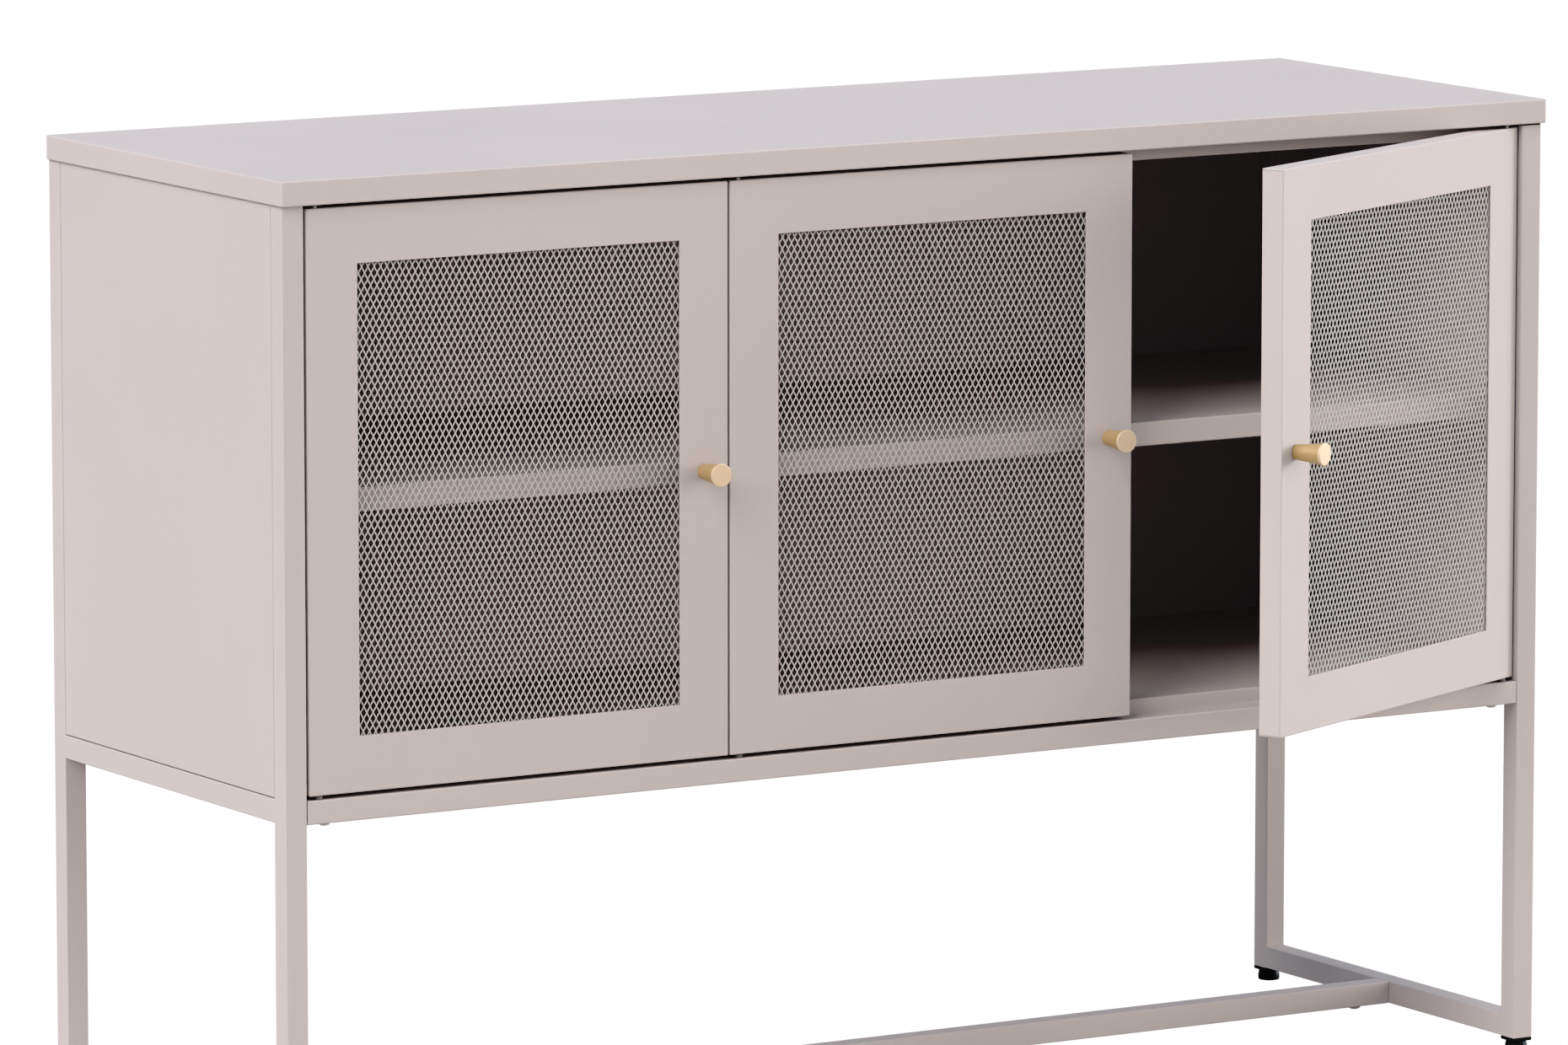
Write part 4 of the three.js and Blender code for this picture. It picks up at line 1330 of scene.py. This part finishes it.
class MakeDoorPanels(bpy.types.Operator):
    """Fold the door pans, with their windows and corner seams"""

    bl_idname = "sideboard.door_panels"
    bl_label = "Door panels"

    def execute(self, context):
        sizes = context.scene.sideboard_sheet
        shell = closed_box("shell")
        low, high = shell.low, shell.high
        extent = (shell.size.x, shell.size.z, shell.size.y)
        fold = sizes.door_return
        into_wall = sizes.bend + sizes.sheet
        upright = axes(X, Z, Y, (shell.middle.x, low.y, shell.middle.z))
        for door, _, place in door_places():
            bm = pan(*extent, fold, sizes.door_corner, window=sizes.window_margin)
            panel = as_object(bm, door + "_panel", upright)
            cut_seams(panel, extent, fold, upright)
            slots = bmesh.new()
            for x, inner in ((low.x, 1), (high.x, -1)):
                for z, way in ((low.z, 1), (high.z, -1)):
                    xs = (x - inner * SPARE, x + inner * sizes.seam_depth)
                    level = z + way * (sizes.sheet + sizes.cut_edge)
                    zs = (level, level + way * sizes.seam)
                    add_block(slots, xs, (low.y + into_wall, high.y - into_wall), zs)
            cut(panel, slots)
            move(panel, place)
            dress(panel, door, "body_paint", door + "_shell")
        return {"FINISHED"}


STRAND_SIDES = 4
SPARE_CELLS = 4


def strand_joint(sizes):
    """One place where four strands meet, with a half of each strand"""
    width = sizes.cell_width
    height = sizes.cell_height
    level = sizes.strand * math.hypot(width, height) / height
    notch = sizes.bond / 2
    side = level / 2 + sizes.widening
    quarter = Vector((width / 4, height / 4))
    half = level / 2
    right = [
        (0, -notch), (quarter.x - half, -quarter.y), (quarter.x + half, -quarter.y),
        (side, -sizes.joint / 2), (side, sizes.joint / 2),
        (quarter.x + half, quarter.y), (quarter.x - half, quarter.y),
    ]
    outline = right + [(-x, -y) for x, y in right]

    bm = bmesh.new()
    front = [bm.verts.new((x, y, 0)) for x, y in outline]
    back = [bm.verts.new((x, y, sizes.thickness)) for x, y in outline]
    strand_ends = {1, 5, 8, 12}
    for i in range(len(outline)):
        j = (i + 1) % len(outline)
        if i not in strand_ends:
            bm.faces.new((front[i], back[i], back[j], front[j]))
    arms = ((0, 1, 2, 3), (4, 5, 6, 7), (7, 8, 9, 10), (11, 12, 13, 0))
    halves = ((0, 3, 4, 7), (7, 10, 11, 0))
    for ring in (front, back):
        for corners in arms + halves:
            bm.faces.new([ring[i] for i in corners])
    mesh = bpy.data.meshes.new("joint")
    bm.to_mesh(mesh)
    bm.free()
    return add_object("joint", mesh)


class MakeDoorMeshes(bpy.types.Operator):
    """Expand the mesh behind each window"""

    bl_idname = "sideboard.door_meshes"
    bl_label = "Door meshes"

    def execute(self, context):
        sizes = context.scene.sideboard_mesh
        width, height = window_size(context.scene.sideboard_sheet)
        middle = closed_box("shell").middle
        depth = closed_box("mesh").middle.y - sizes.thickness / 2
        strands = grown("Expanded mesh", expanded_mesh_tree, {
            "Unit": strand_joint(sizes),
            "Cell width": sizes.cell_width,
            "Cell height": sizes.cell_height,
            "Width": width + 2 * sizes.overlap,
            "Height": height + 2 * sizes.overlap,
            "Spare": SPARE_CELLS * sizes.cell_height,
            "Turn": (0, 0, -sizes.turn),
            "Merge": sizes.merge,
            "Material": finish("mesh_paint"),
        })
        for door, reach, place in door_places():
            bm = bmesh.new()
            bm.from_mesh(strands)
            open_edges = [edge for edge in bm.edges if edge.is_boundary]
            bmesh.ops.holes_fill(bm, edges=open_edges, sides=STRAND_SIDES)
            upright = axes(X * reach, Z, Y, (middle.x, depth, middle.z))
            piece = as_object(bm, door + "_strands", place @ upright)
            dress(piece, door, "mesh_paint", door + "_mesh")
        return {"FINISHED"}


WELD_SEGMENTS = 16
WELD_PROFILE = ((1, -1), (1, 0), (0.8, 0.8), (0.35, 1), (0.15, 0.7))


def weld_mark(sizes):
    """The shallow mark of one spot weld, on +Z"""
    profile = [(a * sizes.weld / 2, b * sizes.weld_height) for a, b in WELD_PROFILE]
    return as_object(turned(profile, WELD_SEGMENTS), "weld")


class MakeMeshFrames(bpy.types.Operator):
    """Cut the flat frames that hold the mesh, and spot-weld them on"""

    bl_idname = "sideboard.mesh_frames"
    bl_label = "Mesh frames"

    def execute(self, context):
        sizes = context.scene.sideboard_sheet
        fasteners = context.scene.sideboard_fasteners
        whole = closed_box("mesh_frame")
        width, thickness, height = whole.size
        middle = whole.middle
        band = (width - window_size(sizes)[0]) / 2 - sizes.frame_inset
        edge = sizes.cut_edge
        profile = [
            (0, edge), (edge, 0), (band - edge, 0), (band, edge),
            (band, thickness - edge), (band - edge, thickness), (edge, thickness), (0, thickness - edge),
        ]
        for door, _, place in door_places():
            bm = lofted(inset_rings(width, height, sizes.frame_corner, profile), closed=True)
            bm.transform(axes(X, Z, Y, (middle.x, whole.low.y, middle.z)))
            welds = grown("Row of spot welds", weld_row_tree, {
                "Unit": weld_mark(fasteners),
                "Width": width - band,
                "Height": height - band,
                "Pitch": fasteners.weld_pitch,
                "Material": finish("body_paint"),
            })
            welds.transform(axes(X, Z, Y, (middle.x, whole.high.y, middle.z)))
            bm.from_mesh(welds)
            piece = as_object(bm, door + "_clamp_frame", place)
            dress(piece, door, "body_paint", door + "_mesh_frame")
        return {"FINISHED"}


KNOB_STEPS = 22
KNOB_SEGMENTS = 72
BEVEL_STEPS = 4
KNOB_FOOT_SHARE = 0.4
FACE_RING_SHARES = (0.97, 0.8, 0.6, 0.4, 0.2, 0.04)


def knob_profile(whole, sizes, edge):
    """A knob's pairs of a radius and a height: a hollow flare, a rounded rim and a flat face"""
    tip = whole.size.x / 2 - sizes.polish
    base = sizes.base / 2
    length = whole.size.y - sizes.polish
    flare_length = length - sizes.chamfer
    rim = tip - sizes.chamfer
    profile = [(KNOB_FOOT_SHARE * base, 0), (base - edge, 0)]
    for i in range(KNOB_STEPS + 1):
        share = i / KNOB_STEPS
        flare = (1 - sizes.bow) * share + sizes.bow * share * share
        profile.append((base + (tip - base) * flare, edge + (flare_length - edge) * share))
    for i in range(1, BEVEL_STEPS + 1):
        turn = math.pi / 2 * i / BEVEL_STEPS
        rise = sizes.chamfer * math.sin(turn)
        profile.append((rim + sizes.chamfer * math.cos(turn), flare_length + rise))
    return profile + [(rim * share, length) for share in FACE_RING_SHARES]


def keep_turned_length(piece, profile, segments):
    """Store how far along its profile each ring of a turned piece lies, as a share of the whole"""
    along = [0.0]
    for (a, b), (c, d) in zip(profile, profile[1:]):
        along.append(along[-1] + math.hypot(c - a, d - b))
    attribute = piece.data.attributes.new("turned_length", "FLOAT", "POINT")
    values = [length / along[-1] for length in along for _ in range(segments)]
    attribute.data.foreach_set("value", values)


class MakeKnobs(bpy.types.Operator):
    """Turn the knobs and drive the screws that hold them"""

    bl_idname = "sideboard.knobs"
    bl_label = "Knobs"

    def execute(self, context):
        sheet = context.scene.sideboard_sheet
        knob = closed_box("knob")
        fixing = closed_box("knob_screw")
        seat = closed_box("shell").low.y + sheet.sheet + sheet.gap
        profile = knob_profile(knob, context.scene.sideboard_knobs, sheet.cut_edge)
        x, _, z = knob.middle
        for door, _, place in door_places():
            bm = turned(profile, KNOB_SEGMENTS)
            handle = as_object(bm, door + "_handle", place @ axes(X, Z, -Y, (x, knob.high.y, z)))
            keep_turned_length(handle, profile, KNOB_SEGMENTS)
            dress(handle, door, "knob_brass", door + "_knob")
            made = screw(
                door + "_handle_screw", fixing.size.x, fixing.high.y - seat, seat - fixing.low.y,
                cross_recess,
            )
            move(made, place @ axes(X, Z, -Y, (x, seat, z)))
            dress(made, door, "zinc", door + "_knob_screw")
        return {"FINISHED"}


PIN_END_SHARE = 0.3
HEAD_EDGE_SHARE = 0.3


def pivot_pin(pin, sizes):
    """One pin that stands on its head, on +Z"""
    head = pin.size.x / 2
    radius = sizes.pin / 2
    length = pin.size.z
    edge = sizes.pin_edge
    head_edge = HEAD_EDGE_SHARE * edge
    return turned([
        (head / 2, 0), (head - head_edge, 0), (head, head_edge), (head, sizes.pin_head),
        (radius, sizes.pin_head), (radius, length - edge), (radius - edge, length),
        (PIN_END_SHARE * radius, length),
    ], ROUND_SEGMENTS)


class MakePivots(bpy.types.Operator):
    """Turn the pivot pins and mould the catches"""

    bl_idname = "sideboard.pivots"
    bl_label = "Pivot pins and catches"

    def execute(self, context):
        sizes = context.scene.sideboard_fasteners
        magnet = closed_box("magnet")
        width, thickness, height = magnet.size
        bevel = sizes.catch_bevel
        for door, _, place in door_places():
            pins = bmesh.new()
            for piece, way in (("top_pin", 1), ("bottom_pin", -1)):
                pin = closed_box(piece)
                start = Matrix.Translation((0, 0, pin.low.z if way > 0 else pin.high.z))
                absorb(pins, pivot_pin(pin, sizes), start @ Matrix.Diagonal((1, 1, way, 1)))
            pair = as_object(pins, door + "_pivot_pins", place)
            dress(pair, door, "zinc", door + "_top_pin", door + "_bottom_pin")
            profile = [(0, 0), (0, thickness - bevel), (bevel, thickness)]
            bm = lofted(inset_rings(width, height, sizes.catch_corner, profile))
            upright = axes(X, Z, Y, (magnet.middle.x, magnet.low.y, magnet.middle.z))
            catch = as_object(bm, door + "_catch", place @ upright)
            dress(catch, door, "black_plastic", door + "_magnet")
        return {"FINISHED"}


# Studio

def add_sun(name, power, direction, degrees, tint):
    """A soft light from one direction, as wide as an angle"""
    lamp = bpy.data.lights.new(name, "SUN")
    lamp.energy = power
    lamp.angle = math.radians(degrees)
    lamp.color = tint
    made = add_object(name, lamp)
    made.rotation_euler = Vector(direction).to_track_quat("Z", "Y").to_euler()


def seen_or_lit(tree, seen, lit):
    """One shader for what the camera sees, and another for the light that goes elsewhere"""
    path = tree.nodes.new("ShaderNodeLightPath")
    mix = add_node(tree, "ShaderNodeMixShader", {0: path.outputs["Is Camera Ray"], 1: lit, 2: seen})
    return mix.outputs["Shader"]


def floor_material(studio):
    """A pale floor that looks evenly white and throws only a little light back on the piece"""
    material = bpy.data.materials.new("floor_paper")
    tree = bare_tree(material)
    glow = add_node(tree, "ShaderNodeEmission", {
        "Color": (*studio.floor, 1), "Strength": studio.floor_glow,
    })
    dull = add_node(tree, "ShaderNodeBsdfDiffuse", {
        "Color": shade(studio.bounce_tint, studio.floor_bounce),
    })
    surface = seen_or_lit(tree, glow.outputs["Emission"], dull.outputs["BSDF"])
    add_node(tree, "ShaderNodeOutputMaterial", {"Surface": surface})
    return material


def white_world(studio):
    """A world that looks white and throws a weaker, cooler light"""
    world = bpy.data.worlds.new("Studio")
    tree = bare_tree(world)
    white = add_node(tree, "ShaderNodeBackground", {"Color": (1, 1, 1, 1)})
    even = add_node(tree, "ShaderNodeBackground", {
        "Color": (*studio.ambient_tint, 1), "Strength": studio.ambient,
    })
    surface = seen_or_lit(tree, white.outputs["Background"], even.outputs["Background"])
    add_node(tree, "ShaderNodeOutputWorld", {"Surface": surface})
    return world


TOE_SHARES = ((1, 0.16), (2, 1.45), (4, 3.85))


def develop(view, toes):
    """Show the light as it is, but pull the darkest tones down like a printed photograph"""
    view.view_transform = "Standard"
    view.use_curve_mapping = True
    for toe, curve in zip(toes, view.curve_mapping.curves):
        for tone, pulled in TOE_SHARES:
            curve.points.new(tone * toe, pulled * toe)
        for point in curve.points:
            point.handle_type = "VECTOR"
    view.curve_mapping.update()


FRAME_WIDTH_IN_MM = 36
CLIP_END = 200
FLOOR_REACH = 40
FLOOR_THICKNESS = 0.02

# Each light's name, the setting of its strength, its direction, its width in degrees and its tint
LIGHTS = (
    ("Left light", "left_light", (-0.75, -0.2, 0.62), 50, (1.0, 0.97, 0.935)),
    ("Right light", "right_light", (0.98, -0.17, 0.1), 32, (0.89, 0.935, 1.0)),
    ("Front light", "front_light", (0.6, -0.78, 0.2), 50, (1.0, 0.82, 0.56)),
    ("Back light", "back_light", (0.0, 0.88, 0.47), 60, (0.5, 0.5, 1.0)),
)


class MakeStudio(bpy.types.Operator):
    """Set up the camera, the floor and the soft lights"""

    bl_idname = "sideboard.studio"
    bl_label = "Studio"

    def execute(self, context):
        studio = context.scene.sideboard_studio
        lens = bpy.data.cameras.new("Camera")
        lens.sensor_fit = "HORIZONTAL"
        lens.sensor_width = FRAME_WIDTH_IN_MM
        lens.lens = studio.lens
        lens.clip_end = CLIP_END
        camera = add_object("Camera", lens)
        camera.location = studio.place
        camera.rotation_euler = (math.pi / 2 - studio.pitch, 0, -studio.azimuth)
        context.scene.camera = camera
        span = (-FLOOR_REACH, FLOOR_REACH)
        floor = as_object(block(span, span, (-FLOOR_THICKNESS, 0)), "floor")
        floor.data.materials.append(floor_material(studio))
        floor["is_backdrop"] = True
        for name, setting, direction, degrees, tint in LIGHTS:
            add_sun(name, getattr(studio, setting), direction, degrees, tint)
        context.scene.world = white_world(studio)
        develop(context.scene.view_settings, studio.toe)
        return {"FINISHED"}


# Add-on

SETTINGS = {
    "sideboard_sheet": SheetSizes,
    "sideboard_tube": TubeSizes,
    "sideboard_mesh": MeshSizes,
    "sideboard_knobs": KnobSizes,
    "sideboard_fasteners": FastenerSizes,
    "sideboard_feet": FootSizes,
    "sideboard_finishes": Finishes,
    "sideboard_studio": StudioSettings,
}

STEPS = (
    MakeStudio, MakeTop, MakeSideFrames, MakeSidePanels, MakeBackPanel, MakeBasePanel,
    MakeStopRail, MakeShelf, MakeStretcher, MakeScrews, MakeLegCaps, MakeFeet, MakeBushes,
    MakeDoorPanels, MakeDoorMeshes, MakeMeshFrames, MakeKnobs, MakePivots,
)


class SideboardPanel(bpy.types.Panel):
    """The sideboard's pieces and their sizes"""

    bl_idname = "VIEW3D_PT_sideboard"
    bl_label = "Sideboard"
    bl_space_type = "VIEW_3D"
    bl_region_type = "UI"
    bl_category = "Sideboard"

    def draw(self, context):
        for step in STEPS:
            self.layout.operator(step.bl_idname)
        for label, group in SETTINGS.items():
            section = self.layout.box()
            section.label(text=group.__doc__)
            for field in group.__annotations__:
                section.prop(getattr(context.scene, label), field)


def register():
    """Register the settings, the operators and the panel"""
    for label, group in SETTINGS.items():
        bpy.utils.register_class(group)
        setattr(bpy.types.Scene, label, bpy.props.PointerProperty(type=group))
    for step in STEPS:
        bpy.utils.register_class(step)
    bpy.utils.register_class(SideboardPanel)


def unregister():
    """Take the panel, the operators and the settings away again"""
    bpy.utils.unregister_class(SideboardPanel)
    for step in reversed(STEPS):
        bpy.utils.unregister_class(step)
    for label, group in SETTINGS.items():
        delattr(bpy.types.Scene, label)
        bpy.utils.unregister_class(group)


def main():
    """Build every piece, and work out the boxes of the frame and of the dressed model"""
    register()
    for step in STEPS:
        _, name = step.bl_idname.split(".")
        getattr(bpy.ops.sideboard, name)()
    boxes = {"cad": CAD_BOX, "visual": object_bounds()}
    plain = {label: [list(corner) for corner in box] for label, box in boxes.items()}


if __name__ == "__main__":
    main()
